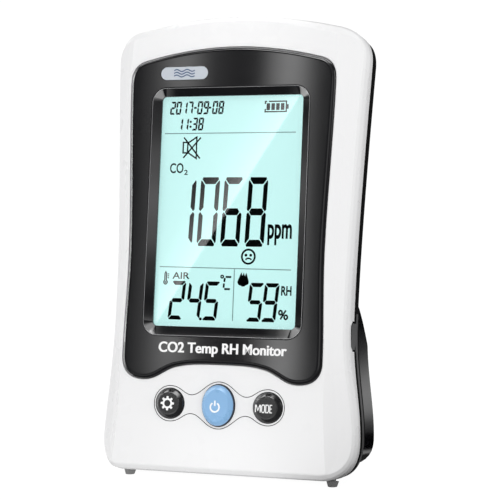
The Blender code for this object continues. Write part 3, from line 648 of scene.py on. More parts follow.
# ---------------------------------------------------------------- buttons

def plate_outline(extra):
    """The dog-bone round the three buttons, grown by extra."""
    quarter = trace(PLATE_QUARTER)
    right = quarter + [(x, -z) for x, z in reversed(quarter[:-1])]
    loop = right + [(-x, z) for x, z in reversed(right[1:-1])]
    loop = [(x, z + BUTTON_Z) for x, z in reversed(loop)]
    return inset(loop, -extra)


def button_wells(extra):
    return (ellipse(-BUTTON_X, BUTTON_Z, CAP_RADIUS + extra, CAP_RADIUS + extra),
            ellipse(0, BUTTON_Z, POWER_CAP[0] + extra, POWER_CAP[1] + extra),
            ellipse(BUTTON_X, BUTTON_Z, CAP_RADIUS + extra, CAP_RADIUS + extra))


def make_plate():
    skin = Skin()
    outline = plate_outline(0)
    ends = [skin.loft(rounded_rings([ring(inset(outline, 0.12), 0), ring(outline, 0),
                                     ring(outline, PLATE_THICKNESS)], (0.1,)))]
    for hole in button_wells(GAP):
        ends.append(skin.loft(rounded_rings([ring(inset(hole, -0.12), 0), ring(hole, 0),
                                             ring(hole, PLATE_THICKNESS)], (0.1,))))
    skin.fill(*[first for first, last in ends])
    skin.fill(*[last for first, last in ends])
    plate = show("button_plate_skin", skin.data("button_plate_skin"), SHELL_WHITE,
                 stands_for=["button_plate"], sharp=50)
    # Painted shade: the plate's sides round its outline and its holes, and its back, are painted near-black.
    paint(plate, SHADE_BLACK, lambda centre: centre.y > 0.25)


# A cap's crown: (inset from its side, fall from its face)
DARK_CAP_PROFILE = ((2.1, 0.0), (1.5, 0.0), (0.35, 1.1), (0.0, 1.5))
BLUE_CAP_PROFILE = ((2.5, 0.0), (1.9, 0.0), (0.8, 0.8), (0.2, 1.7), (0.0, 2.5))


def paint(piece, look, chosen_face):
    """A second finish on the faces for which chosen_face(centre in the case's frame) holds."""
    piece.data.materials.append(look)
    back = CASE.inverted()
    for face in piece.data.polygons:
        if chosen_face(back @ face.center / MM):
            face.material_index = 1


def make_cap(name, x, half_width, half_height, rise, profile, radii, look, slot, shade_band):
    rings = [ring(ellipse(x, BUTTON_Z, half_width - amount, half_height - amount), fall - rise)
             for amount, fall in profile]
    flange_front = PLATE_THICKNESS + GAP
    rings += [ring(ellipse(x, BUTTON_Z, half_width + grow, half_height + grow), depth)
              for grow, depth in ((0, flange_front), (FLANGE, flange_front),
                                  (FLANGE, flange_front + 1))]
    rings += [ring(ellipse(x, BUTTON_Z, 2.5, 2.5), depth) for depth in (flange_front + 1, STEM_END)]
    radii = radii + (0,) * (len(rings) - 2 - len(radii))
    skin = Skin()
    skin.solid(rounded_rings(rings, radii))
    cap = show(f"{name}_cap_skin", skin.data(f"{name}_cap_skin"), look, body=f"{name}_cap",
               stands_for=[f"{name}_button"], sharp=50)
    # Painted shade: the cap's side is painted dark from the given depth down, together with its flange and stem.
    paint(cap, shade_band[1], lambda centre: centre.y > -shade_band[0])


def add_line(skin, points, width, front, rear, closed=False):
    """A flat line with a width, mitred at its corners."""
    points = [Vector(point) for point in points]
    rows = []
    for index, point in enumerate(points):
        before = points[index - 1] if index or closed else None
        after = points[(index + 1) % len(points)] if index + 1 < len(points) or closed else None
        legs = [leg.normalized() for leg in ((point - before) if before else (after - point),
                                             (after - point) if after else (point - before))]
        along = (legs[0] + legs[1]).normalized()
        reach = width / 2 / max(0.5, along.dot(legs[0]))
        side = Vector((-along.y, along.x)) * reach
        edges = (point + side, point - side)
        rows.append(skin.row([(edges[0].x, front, edges[0].y), (edges[0].x, rear, edges[0].y),
                              (edges[1].x, rear, edges[1].y), (edges[1].x, front, edges[1].y)]))
    skin.band(rows + rows[:1] if closed else rows)
    if not closed:
        skin.mesh.faces.new(rows[0])
        skin.mesh.faces.new(rows[-1])


def arc(x, z, radius, first, last, steps=28):
    angles = [math.radians(first + (last - first) * step / steps) for step in range(steps + 1)]
    return [(x + radius * math.sin(a), z + radius * math.cos(a)) for a in angles]


def gear_loop(x, z, tip, root, teeth=8):
    points = []
    for tooth in range(teeth):
        middle = 360 / teeth * tooth
        for shift, radius in ((-13.5, root), (-8.5, tip), (0, tip + 0.03), (8.5, tip), (13.5, root)):
            angle = math.radians(middle + shift)
            points.append((x + radius * math.sin(angle), z + radius * math.cos(angle)))
    return points


CAPITAL = 0.69                   # height of the built-in font's capitals at size one


def lettering(text, x, z, width, height, bold=0.0, align=0.5):
    """Flat letters as a bmesh in the case's frame: x, baseline, width and capital height."""
    curve = bpy.data.curves.new("letters", "FONT")
    curve.body = text
    curve.offset = bold
    curve.extrude = 0.5
    curve.resolution_u = 6
    holder = bpy.data.objects.new("letters", curve)
    bpy.context.scene.collection.objects.link(holder)
    graph = bpy.context.evaluated_depsgraph_get()
    data = bpy.data.meshes.new_from_object(holder.evaluated_get(graph))
    bpy.data.objects.remove(holder, do_unlink=True)
    mesh = bmesh.new()
    mesh.from_mesh(data)
    bpy.data.meshes.remove(data)
    bmesh.ops.remove_doubles(mesh, verts=mesh.verts, dist=1e-5)
    spots = [vertex.co.copy() for vertex in mesh.verts]
    low = [min(spot.x for spot in spots)]
    high = [max(spot.x for spot in spots)]
    for vertex in mesh.verts:
        across = (vertex.co.x - low[0]) / (high[0] - low[0])
        vertex.co = (x + (across - align) * width, -vertex.co.z,
                     z + vertex.co.y / CAPITAL * height)
    return mesh


def add_letters(skin, mesh, front, rear, shifts=(0,)):
    """Puts letters between two depths into a skin; copies side by side make them heavier."""
    spots = [vertex.co.copy() for vertex in mesh.verts]
    scrap = bpy.data.meshes.new("scrap")
    for index, shift in enumerate(shifts):
        for vertex, spot in zip(mesh.verts, spots):
            step = 0.006 * index
            vertex.co = (spot.x + shift, front - step if spot.y < 0 else rear + step, spot.z)
        mesh.to_mesh(scrap)
        skin.mesh.from_mesh(scrap)
    mesh.free()
    bpy.data.meshes.remove(scrap)


INK = 0.03                                    # thickness of the printed symbols
GEAR_SYMBOL = (-BUTTON_X - 0.5, BUTTON_Z)     # the symbols sit a little left of the caps' middles
POWER_SYMBOL = (-0.5, BUTTON_Z - 0.7)
MODE_LEGEND = (BUTTON_X - 1.0, BUTTON_Z - 1.9)


BOWL = ((0.3, 0), (0.75, 0), (1, 0.2), (1, 0.8), (0.75, 1), (0.3, 1))
MODE_STROKES = (((((0, 0), (0, 1)), False), (((0.1, 1), (0.5, 0.25), (0.9, 1)), False), (((1, 0), (1, 1)), False)),
                (((*BOWL[1:5], (0.25, 1), (0, 0.8), (0, 0.2), (0.25, 0)), True),),
                ((((0, 0), *BOWL[1:5], (0, 1)), True),),
                ((((1, 0), (0, 0), (0, 1), (1, 1)), False), (((0, 0.5), (0.85, 0.5)), False)))


def make_buttons():
    # Each cap's last argument gives how far up its side painted shade reaches, and the dark finish painted there.
    make_cap("settings", -BUTTON_X, CAP_RADIUS, CAP_RADIUS, CAP_RISE, DARK_CAP_PROFILE,
             (0.35, 0.3, 0.25), CAP_DARK, "dark_abs", (0.35, SHADE_BLACK))
    make_cap("power", 0.0, *POWER_CAP, POWER_RISE, BLUE_CAP_PROFILE,
             (0.5, 0.9, 0.9, 0.5), CAP_BLUE, "blue_button_plastic", (1.25, CAP_BLUE_SHADE))
    make_cap("mode", BUTTON_X, CAP_RADIUS, CAP_RADIUS, CAP_RISE, DARK_CAP_PROFILE,
             (0.35, 0.3, 0.25), CAP_DARK, "dark_abs", (0.35, SHADE_BLACK))

    gear = Skin()
    gear.slab([gear_loop(*GEAR_SYMBOL, 2.9, 2.15), ellipse(*GEAR_SYMBOL, 1.35, 1.35, 32)],
              -CAP_RISE - INK, -CAP_RISE + INK)
    show("settings_symbol", gear.data("settings_symbol"), PRINT_WHITE, body="settings_cap")

    power = Skin()
    for path in (arc(*POWER_SYMBOL, 1.88, 32, 328), [(POWER_SYMBOL[0], POWER_SYMBOL[1] + 0.5),
                                                     (POWER_SYMBOL[0], POWER_SYMBOL[1] + 2.7)]):
        add_line(power, path, 0.66, -POWER_RISE - INK, -POWER_RISE + INK)
    show("power_symbol", power.data("power_symbol"), PRINT_WHITE, body="power_cap")

    mode = Skin()
    left, low = MODE_LEGEND[0] - 3.6, MODE_LEGEND[1]
    for width, strokes in zip((2.05, 1.22, 1.18, 0.92), MODE_STROKES):
        for step, (path, closed) in enumerate(strokes):
            add_line(mode, [(left + width * u, low + 3.0 * v) for u, v in path], 0.4,
                     -CAP_RISE - INK - 0.006 * step, -CAP_RISE + INK, closed)
        left += width + 0.54
    show("mode_legend", mode.data("mode_legend"), PRINT_WHITE, body="mode_cap")


# ---------------------------------------------------------------- prints on the bezel

def make_prints():
    label = Skin()
    add_letters(label, lettering("CO2 Temp RH Monitor", 0.9, 49.4, 55.2, 4.1, bold=0.015),
                -BEZEL_RISE - INK, -BEZEL_RISE + INK, (-0.12, 0, 0.12))
    show("bezel_legend", label.data("bezel_legend"), PRINT_WHITE)

    x, z, half_width, half_height = BADGE
    front = -BEZEL_RISE - 0.15
    badge = Skin()
    badge.solid(rounded_rings([ring(badge_outline(-0.5), front), ring(badge_outline(0), front),
                               ring(badge_outline(0), -BEZEL_RISE + 0.2)], (0.15,)))
    show("badge_skin", badge.data("badge_skin"), SILVER, stands_for=["front_badge"])
    waves = Skin()
    for row in (-1, 0, 1):
        path = [(x - 4.6 + 9.2 * step / 40, z + row * 1.15 + 0.42 * math.sin(math.pi * step / 10))
                for step in range(41)]
        add_line(waves, path, 0.45, front - INK, front + INK)
    show("badge_waves", waves.data("badge_waves"), NAVY)


# ---------------------------------------------------------------- marks on the display

MARK_FRONT, MARK_REAR = 3.42, 3.48
DIGIT_SEGMENTS = {"0": "abcdef", "1": "bc", "2": "abdeg", "3": "abcdg", "4": "bcfg", "5": "acdfg",
                  "6": "acdefg", "7": "abc", "8": "abcdefg", "9": "abcdfg", "-": "g"}


def segments(width, height, flat, upright, gap):
    """The seven strokes of a digit, unslanted, from its bottom left corner."""
    half = height / 2
    lean = 0.5 * upright                  # how far the flat strokes' ends slope inwards
    start = 0.2 * upright + 0.5 * gap
    top = [(start, height - 0.3 * flat), (start + 0.3 * lean, height), (width - start - 0.3 * lean, height),
           (width - start, height - 0.3 * flat), (width - start - lean - 0.3 * upright, height - flat),
           (start + lean + 0.3 * upright, height - flat)]
    near = 0.45 * upright + 0.5 * gap
    middle = [(near, half), (near + 0.45 * upright, half + flat / 2),
              (width - near - 0.45 * upright, half + flat / 2), (width - near, half),
              (width - near - 0.45 * upright, half - flat / 2), (near + 0.45 * upright, half - flat / 2)]
    foot, brow = half + 0.5 * gap, height - 0.3 * flat - gap
    upper_left = [(0, foot + 0.25 * flat), (0.35 * upright, foot), (upright, foot + 0.55 * flat),
                  (upright, brow - 0.75 * flat), (0.2 * upright, brow), (0, brow - 0.2 * flat)]
    mirror = {"f": upper_left, "b": [(width - x, z) for x, z in reversed(upper_left)],
              "e": [(x, height - z) for x, z in reversed(upper_left)],
              "c": [(width - x, height - z) for x, z in upper_left]}
    return {"a": top, "d": [(x, height - z) for x, z in reversed(top)], "g": middle, **mirror}


def add_digit(skin, digit, x, z, width, height, flat, upright, gap=0.3, slant=0.0):
    strokes = segments(width, height, flat, upright, gap)
    for key in DIGIT_SEGMENTS[digit]:
        skin.slab([[(x + u + slant * v, z + v) for u, v in strokes[key]]], MARK_FRONT, MARK_REAR)


def add_lines(skin, width, *paths, closed=False):
    for path in paths:
        add_line(skin, path, width, MARK_FRONT, MARK_REAR, closed)


def add_disc(skin, x, z, radius):
    skin.slab([ellipse(x, z, radius, radius, 20)], MARK_FRONT, MARK_REAR)


def make_marks():
    marks = Skin()
    # date and time
    for digit, x in zip("20170908", (-28.3, -25.7, -23.1, -20.5, -16.2, -13.5, -9.5, -6.8)):
        add_digit(marks, digit, x, 148.8, 2.3, 5.5, 0.8, 0.7, 0.1, slant=0.09)
    for x in (-17.5, -11.0):
        add_lines(marks, 0.75, [(x, 151.55), (x + 1.15, 151.55)])
    for digit, x in zip("1138", (-24.8, -22.2, -18.2, -15.5)):
        add_digit(marks, digit, x, 142.0, 2.3, 5.4, 0.8, 0.7, 0.1, slant=0.09)
    for z in (143.6, 145.7):
        add_disc(marks, -18.75, z, 0.48)
    # charge
    add_lines(marks, 0.55, [(14.6, 153.7), (13.9, 153.7), (13.9, 152.6)],
              [(13.9, 150.6), (13.9, 149.4), (23.0, 149.4), (23.0, 153.7), (15.4, 153.7)])
    for x in (15.2, 17.3, 19.35, 21.4):
        marks.slab([[(x - 0.74, 150.1), (x + 0.74, 150.1), (x + 0.74, 152.9), (x - 0.74, 152.9)]],
                   MARK_FRONT, MARK_REAR)
    marks.slab([[(23.3, 150.5), (24.0, 150.5), (24.0, 152.4), (23.3, 152.4)]], MARK_FRONT, MARK_REAR)
    # muted speaker
    add_lines(marks, 0.6, [(-21.6, 132.6), (-19.6, 132.6), (-19.6, 137.0), (-21.6, 137.0)], closed=True)
    add_lines(marks, 0.6, [(-19.4, 136.8), (-15.7, 139.2), (-15.6, 130.2), (-19.4, 132.7)])
    add_lines(marks, 0.6, [(-21.4, 139.1), (-14.0, 130.2)], [(-13.9, 139.0), (-21.4, 130.5)])
    # units
    for text, x, z, width, height, bold in (("CO", -27.1, 124.2, 6.0, 4.0, 0.014),
                                            ("2", -20.7, 123.4, 1.6, 2.0, 0.018),
                                            ("ppm", 17.0, 97.3, 10.4, 8.1, 0.026),
                                            ("AIR", -23.9, 79.9, 7.6, 2.7, 0.016),
                                            ("RH", 23.8, 74.0, 4.4, 3.6, 0.03)):
        add_letters(marks, lettering(text, x, z, width, height, bold, align=0), MARK_FRONT, MARK_REAR)
    add_lines(marks, 0.68, ellipse(23.85, 66.9, 0.68, 0.85, 20), closed=True)
    add_lines(marks, 0.68, ellipse(26.15, 65.1, 0.68, 0.85, 20), closed=True)
    add_lines(marks, 0.68, [(23.9, 64.2), (26.1, 67.9)])
    # reading
    for digit, x in zip("1068", (-24.3, -13.9, -3.5, 7.1)):
        add_digit(marks, digit, x, 93.6, 8.4, 28.7, 2.85, 1.85, 0.4, slant=0.035)
    # face
    add_lines(marks, 0.8, ellipse(9.1, 89.5, 2.8, 2.9, 40), closed=True)
    for x in (8.04, 10.11):
        add_disc(marks, x, 90.1, 0.6)
    add_lines(marks, 0.6, [(7.9, 88.2), (8.5, 88.7), (9.15, 88.85), (9.9, 88.7), (10.5, 88.2)])
    # thermometer, degree sign and C
    add_lines(marks, 0.48, [(-26.6, 79.2), (-26.6, 82.0), (-26.95, 82.7), (-27.3, 82.0), (-27.3, 79.2),
                            (-27.8, 78.5), (-27.5, 77.8), (-26.95, 77.5), (-26.4, 77.8), (-26.1, 78.5)],
              closed=True)
    add_disc(marks, -26.95, 78.4, 0.38)
    for z in (80.2, 81.0, 81.8):
        add_lines(marks, 0.42, [(-26.1, z), (-25.4, z)])
    add_lines(marks, 0.55, ellipse(-1.92, 81.1, 0.55, 0.55, 16), closed=True)
    add_lines(marks, 0.8, [(-0.35, 81.0), (2.05, 81.0)], [(-0.75, 80.6), (-0.9, 78.9)],
              [(-1.0, 78.3), (-1.15, 76.5)], [(-0.8, 76.0), (1.65, 76.0)])
    # drops
    for x, z, size in ((6.25, 77.4, 1.05), (8.4, 77.6, 0.98), (7.3, 77.0, 1.1)):
        drop = arc(x, z + 1.5 * size, 1.35 * size, 70, 290, 16) + [(x + 0.15, z + 5.4 * size)]
        marks.slab([drop], MARK_FRONT, MARK_REAR)
    # temperature and humidity
    for digit, x in zip("245", (-25.4, -17.7, -10.3)):
        add_digit(marks, digit, x, 62.9, 6.4, 16.1, 1.7, 1.4, 0.25, slant=0.09)
    add_disc(marks, -10.75, 63.45, 0.62)
    for digit, x in zip("59", (8.9, 15.4)):
        add_digit(marks, digit, x, 62.9, 6.3, 15.9, 1.7, 1.4, 0.25, slant=0.09)
    show("display_marks", marks.data("display_marks"), MARK_BLACK)

    rules = Skin()
    add_lines(rules, 0.36, [(-30.1, 140.8), (27.5, 140.8)], [(-29.7, 84.8), (27.6, 84.3)],
              [(3.3, 84.3), (3.3, 63.0)])
    show("display_rules", rules.data("display_rules"), MARK_GREY)


# ---------------------------------------------------------------- rear

def rear_ring(amount, depth, case=tuple(mirrored(trace(CASE_OUTLINE)))):
    return ring(inset(list(case), amount), depth)


def turned(x, z, profile, count=32):
    skin = Skin()
    skin.solid([ring(ellipse(x, z, radius, radius, count), depth) for radius, depth in profile])
    return skin


def merged(skins, name="tool"):
    whole = Skin()
    for skin in skins:
        scrap = bpy.data.meshes.new("scrap")
        skin.mesh.to_mesh(scrap)
        skin.mesh.free()
        whole.mesh.from_mesh(scrap)
        bpy.data.meshes.remove(scrap)
    return whole.data(name)


def prism(loop, front, rear):
    skin = Skin()
    skin.solid([ring(loop, front), ring(loop, rear)])
    return skin


def block(x_range, y_range, z_range):
    (x0, x1), (y0, y1), (z0, z1) = x_range, y_range, z_range
    return prism([(x0, z0), (x1, z0), (x1, z1), (x0, z1)], y0, y1)


def notch_tab(side, low, high, shrink):
    """The tongue of the rear housing that fills a side notch, between two distances from the middle."""
    (wide, knee), (narrow, floor) = NOTCH_STEPS
    edge = GAP + shrink
    profile = [(PARTING - floor + GAP + 2.2 * shrink, -narrow + edge), (PARTING - knee, -wide + edge),
               (PARTING + 4.0, -wide + edge), (PARTING + 4.0, wide - edge),
               (PARTING - knee, wide - edge), (PARTING - floor + GAP + 2.2 * shrink, narrow - edge)]
    skin = Skin()
    skin.solid([[(side * x, y, PORT_Z + z) for y, z in profile] for x in (low, high)], across=(1, 2))
    return skin


GROOVE = 22.4                   # the shadow groove beside the seam ends at this depth
PAINTED_SHADE_END = 23.2                 # and the shade painted black in it runs on to this one
TAB_STEP, TAB_FACE = 49.5, 50.5                # the tongue's rim and face are this far from the middle


def in_painted_shade(centre):
    """True where shade is painted black: in the shadow groove beside the seam, on the rims of the side tongues and
    beside the upper seam.
    """
    raised = abs(centre.x) > TAB_FACE - 0.05 and abs(centre.z - PORT_Z) < 5.7
    return centre.y < (27 if centre.z > SEAT_TOP - 8 else PAINTED_SHADE_END) and not raised


def make_rear_housing():
    rim = PARTING + GAP
    skin = Skin()
    outside = [rear_ring(amount, depth) for amount, depth in
               ((5.0, REAR_FACE), (4.0, REAR_FACE), (1.7, 27.9), (0.4, 26.9), (0.22, PAINTED_SHADE_END), (0.2, GROOVE), (1.5, 21.2),
                (1.5, rim))]
    inside = [rear_ring(amount, depth) for amount, depth in ((3.2, rim), (3.2, 23.4), (4.6, 24.4))]
    skin.solid(rounded_rings(outside + inside, (1.2, 1.2, 1.0, 0, 0, 0, 0, 0, 0)))
    bay = rounded_rectangle(44, SEAT_TOP + 5, 180, 14)
    cuts = [("DIFFERENCE", block((-70, 70), (SEAT, 40), (-10, SEAT_TOP)).data("seat")),
            ("DIFFERENCE", prism(bay, 22, REAR_FACE - 2.2).data("bay")),
            ("UNION", merged([turned(x, z, ((4.6, rim), (4.6, SEAT - 1.2))) for x, z in CORNER_SCREWS])),
            ("UNION", merged([notch_tab(side, 48.2, TAB_STEP, 0) for side in (-1, 1)])),
            ("UNION", merged([notch_tab(side, 48.4, TAB_FACE, 0.5) for side in (-1, 1)])),
            ("UNION", merged([turned(x, z, ((3.2, SEAT - 1), (3.2, 47.4))) for x, z in POD_SCREWS])),
            ("DIFFERENCE", merged([turned(x, z, ((1.3, 34), (1.3, 50))) for x, z in POD_SCREWS])),
            ("DIFFERENCE", merged([turned(x, z, ((1.8, 18), (1.8, SCREW_SEAT), (3.2, SCREW_SEAT),
                                                 (3.2, 32))) for x, z in CORNER_SCREWS])),
            ("DIFFERENCE", merged([prism(rounded_rectangle(19.0, 122 + 5.5 * row - 1.1,
                                                           122 + 5.5 * row + 1.1, 1.1, steps=6), 20, 32)
                                   for row in range(7)])),
            ("DIFFERENCE", turned(30, 45, ((3.2, 20), (3.2, 32))).data("cable")),
            ("DIFFERENCE", block((-60, -47), (15.5, 18.9), (PORT_Z - 4, PORT_Z + 4)).data("port"))]
    rear = show("rear_housing_skin", carved(skin.data("rear"), *cuts), REAR_DARK,
                stands_for=["rear_housing"], sharp=30)
    # Painted shade: the groove beside the seam, the tongues' rims and the side beside the upper seam are painted
    # near-black.
    paint(rear, SHADE_BLACK, in_painted_shade)


def pod_side(amount, top, count, outline=tuple(mirrored([(x, z + POD_LIFT * (1 - z / 20) if z < 20 else z)
                                                         for x, z in trace(CASE_OUTLINE)]))):
    """The right side of the pod at one depth, from the bottom centre to its crest, evenly spaced."""
    half = len(outline) // 2
    path = [point for point in inset(list(outline), amount)[:half]]
    path[0] = (0.0, path[0][1])
    kept = [point for point in path if point[1] < top and (point[0] > 30 or point[1] < 60)]
    following = path[len(kept)]
    last = kept[-1]
    share = (top - last[1]) / (following[1] - last[1])
    kept.append((last[0] + share * (following[0] - last[0]), top))
    lengths = np.concatenate([[0], np.cumsum([math.dist(a, b) for a, b in zip(kept, kept[1:])])])
    where = np.linspace(0, lengths[-1], count)
    return list(zip(np.interp(where, lengths, [p[0] for p in kept]),
                    np.interp(where, lengths, [p[1] for p in kept])))


def pod_ring(amount, depth, radius, crest=tuple(zip(*trace(POD_CREST)))):
    """One closed loop of the pod: its side, a round upper corner, and the straight crest."""
    top = float(np.interp(depth, crest[0], crest[1]))
    side = pod_side(amount, top - radius, 44)
    x, z = side[-1]
    corner = [(x - radius + radius * math.cos(a), z + radius * math.sin(a))
              for a in (math.radians(90 * step / 10) for step in range(1, 11))]
    flat = [(corner[-1][0] * (1 - step / 6), top) for step in range(1, 7)]
    return ring(mirrored(side + corner + flat), depth)


POD_SHADE_EDGE = 29.5               # the pod's front edge is painted black down to this depth, as painted shade at its gap to the rear housing


def make_pod():
    outside = [(1.3, SEAT + GAP), (0.7, SEAT + GAP + 0.6), (0.72, POD_SHADE_EDGE), (1.1, 46.0), (2.3, 49.7),
               (4.6, 52.1), (8.0, POD_REAR), (9.0, POD_REAR)]
    rows = rounded([(a, d, 0) for a, d in outside], (0.3, 0, 6.0, 3.0, 2.0, 1.0), 6)
    fine = []
    for first, second in zip(rows, rows[1:]):
        steps = max(1, int((second - first).length / 1.5))
        fine += [first.lerp(second, step / steps) for step in range(steps)]
    fine.append(rows[-1])
    rings = [pod_ring(row.x, row.y, 2.6) for row in fine]
    inner = [(3.4, 45.0), (4.5, 48.0), (6.6, 50.0), (9.5, POD_REAR - 2.2)]
    core = Skin()
    crest = tuple(zip(*[(SEAT + (y - SEAT) * 0.93 - 0.3, 30 + (z - 30) * 0.93)
                        for y, z in trace(POD_CREST)]))
    core_rows = [(3.0, SEAT - 2)] + [(3.2, y) for y in (30, 34, 38, 42)] + inner
    core_rings = []
    for amount, depth in core_rows:
        top = float(np.interp(depth, crest[0], crest[1]))
        core_rings.append(ring([(x, max(z, 3.0)) for x, z in
                                mirrored(pod_side(amount, top, 40) + [(0.0, top)])], depth))
    core.solid(core_rings)
    skin = Skin()
    skin.solid(rings)
    cuts = [("DIFFERENCE", core.data("core")),
            ("UNION", merged([turned(x, z, ((4.6, 47.4 + GAP), (4.6, 51.5))) for x, z in POD_SCREWS])),
            ("DIFFERENCE", merged([turned(x, z, ((1.8, 46), (1.8, POD_SCREW_SEAT), (3.1, POD_SCREW_SEAT),
                                                 (3.1, 56))) for x, z in POD_SCREWS]))]
    pod = show("pod_cover_skin", carved(skin.data("pod"), *cuts), POD_BLACK,
               stands_for=["pod_cover"], sharp=35)
    # Painted shade: the pod's front edge, at its gap to the rear housing, is painted near-black.
    paint(pod, SHADE_BLACK, lambda centre: centre.y < POD_SHADE_EDGE)


# ---------------------------------------------------------------- studio

def camera_axes():
    azimuth, elevation = math.radians(VIEW_AZIMUTH), math.radians(VIEW_ELEVATION)
    right = Vector((math.cos(azimuth), math.sin(azimuth), 0))
    back = Vector((math.sin(azimuth) * math.cos(elevation), -math.cos(azimuth) * math.cos(elevation),
                   math.sin(elevation)))
    return right, back, (-back).cross(right)


def make_camera():
    right, back, down = camera_axes()
    data = bpy.data.cameras.new("camera")
    data.lens = LENS
    data.sensor_width = 36
    data.clip_start, data.clip_end = 0.01, 20
    camera = bpy.data.objects.new("camera", data)
    bpy.context.scene.collection.objects.link(camera)
    camera.location = world(0, 0, 95) - (VIEW_SHIFT[0] * right + VIEW_SHIFT[1] * down
                                         - VIEW_DISTANCE * back) * MM
    camera.rotation_euler = (-back).to_track_quat("-Z", "Y").to_euler()
    bpy.context.scene.camera = camera
    return camera.location.copy()


def arithmetic(look, operation, *values):
    return look.node("ShaderNodeMath", dict(enumerate(values)), operation=operation).outputs[0]


def emission(name, build_strength, see_through=False):
    """A light-giving material; build_strength(look, across, up) gives the strength over the sheet."""
    look = Look(name)
    look.nodes.remove(look.shader)
    uv = look.node("ShaderNodeUVMap").outputs[0]
    across, up, _ = look.node("ShaderNodeSeparateXYZ", {"Vector": uv}).outputs
    glow = look.node("ShaderNodeEmission")
    look.feed(build_strength(look, across, up), glow.inputs["Strength"])
    whole = glow
    if see_through:
        clear = look.node("ShaderNodeBsdfTransparent")
        whole = look.node("ShaderNodeAddShader", {0: clear.outputs[0], 1: glow.outputs[0]})
    look.links.new(whole.outputs[0], look.output.inputs[0])
    return look.material


def card(name, corners, look):
    """A four-cornered sheet that shows only in mirror images."""
    data = bpy.data.meshes.new(name)
    data.from_pydata([tuple(corner) for corner in corners], [], [(0, 1, 2, 3)])
    uv = data.uv_layers.new(name="UVMap")
    for loop, place in zip(uv.data, ((0, 0), (1, 0), (1, 1), (0, 1))):
        loop.uv = place
    data.materials.append(look)
    sheet = bpy.data.objects.new(name, data)
    bpy.context.scene.collection.objects.link(sheet)
    sheet.visible_camera = sheet.visible_diffuse = sheet.visible_shadow = False
    sheet.visible_transmission = False
    return sheet


def mirror_image(eye, x, y, z, distance, normal=(0, -1, 0)):
    """Where the eye's ray goes after a surface with this normal mirrors it at a spot."""
    spot = world(x, y, z)
    normal = (CASE.to_3x3() @ Vector(normal)).normalized()
    ray = (spot - eye).normalized()
    return spot + distance * (ray - 2 * ray.dot(normal) * normal)


def ramp(look, value, stops, peak, softness="EASE"):
    """A strength that follows stops of (place, strength), which are at most peak."""
    node = look.node("ShaderNodeValToRGB", {"Fac": value})
    node.color_ramp.interpolation = softness
    elements = node.color_ramp.elements
    elements[0].position = stops[0][0]
    elements[-1].position = stops[-1][0]
    for place, level in stops[1:-1]:
        elements.new(place)
    for element, (place, level) in zip(elements, stops):
        element.color = (level / peak, level / peak, level / peak, 1)
    return arithmetic(look, "MULTIPLY", node.outputs["Color"], peak)


BAND_SPAN = 60.0
BANDS = ((-45, 0.1), (-41.6, 0.1), (-38.1, 0.6), (-22.6, 3.05), (-6.6, 0.4), (2.4, 0.2), (8.4, 0.25),
         (24.8, 4.6), (40.4, 0.25), (45, 0.12))        # what the bezel mirrors: place and strength


def band_strength(look, across, up):
    stops = [((x + BAND_SPAN) / (2 * BAND_SPAN), level) for x, level in BANDS]
    return ramp(look, across, stops, 5.0)


GLARE_TOP, GLARE_BOTTOM = (28.7, 155.3), (-29.5, 61.65)     # the glare's edge across the display
GLARE = ((0.0, 0.0), (0.497, 0.0), (0.503, 1.7), (0.62, 1.0), (0.78, 0.35), (1.0, 0.05))


def glare_strength(look, across, up):
    """Bright on the upper left of the diagonal, strongest beside it, dark on the other side."""
    half, bottom, top = WINDOW_EDGE
    ends = [((x + half) / (2 * half), (z - bottom) / (top - bottom)) for x, z in (GLARE_TOP, GLARE_BOTTOM)]
    slope = (ends[0][0] - ends[1][0]) / (ends[0][1] - ends[1][1])
    line = arithmetic(look, "MULTIPLY_ADD", up, slope, ends[1][0] - slope * ends[1][1])
    away = arithmetic(look, "SUBTRACT", line, across)
    return ramp(look, arithmetic(look, "ADD", away, 0.5), GLARE, 2.0, "LINEAR")


def soft_edges(strength, edge=0.3):
    """A strength that fades towards the sheet's four sides."""
    def build(look, across, up):
        level = strength
        for value in (across, up):
            for side in (value, arithmetic(look, "SUBTRACT", 1.0, value)):
                fade = look.node("ShaderNodeMapRange", {"Value": side, "From Max": edge},
                                 interpolation_type="SMOOTHSTEP").outputs[0]
                level = arithmetic(look, "MULTIPLY", fade, level)
        return level
    return build


MIDDLE = Vector((0, 0, 0.09))


def sky_card(name, azimuths, elevations, build_strength, distance=1.7):
    """A sheet that spans these directions as seen from the object's middle."""
    corners = [MIDDLE + distance * direction(azimuths[i], elevations[j])
               for i, j in ((0, 0), (1, 0), (1, 1), (0, 1))]
    return card(name, corners, emission(name, build_strength, see_through=True))


# Sheets by name: azimuths, elevations, strength
SHEETS = {"fold_left": ((-81, -50), (-20, 40), 6.5),
          "fold_up": ((-45, 25), (36, 62), 11.0),
          "fold_right": ((12, 40), (-12, 30), 0.9),
          "fold_down": ((-50, 10), (-26, 2), 2.5),
          "crown_left": ((-150, -100), (-30, 50), 1.2),
          "crown_top": ((-165, -120), (40, 80), 6.0),
          "crown_right": ((76, 140), (3, 30), 1.8),
          "rear_right": ((112, 150), (35, 65), 3.0),
          "rear_left": ((-158, -120), (50, 70), 2.0)}
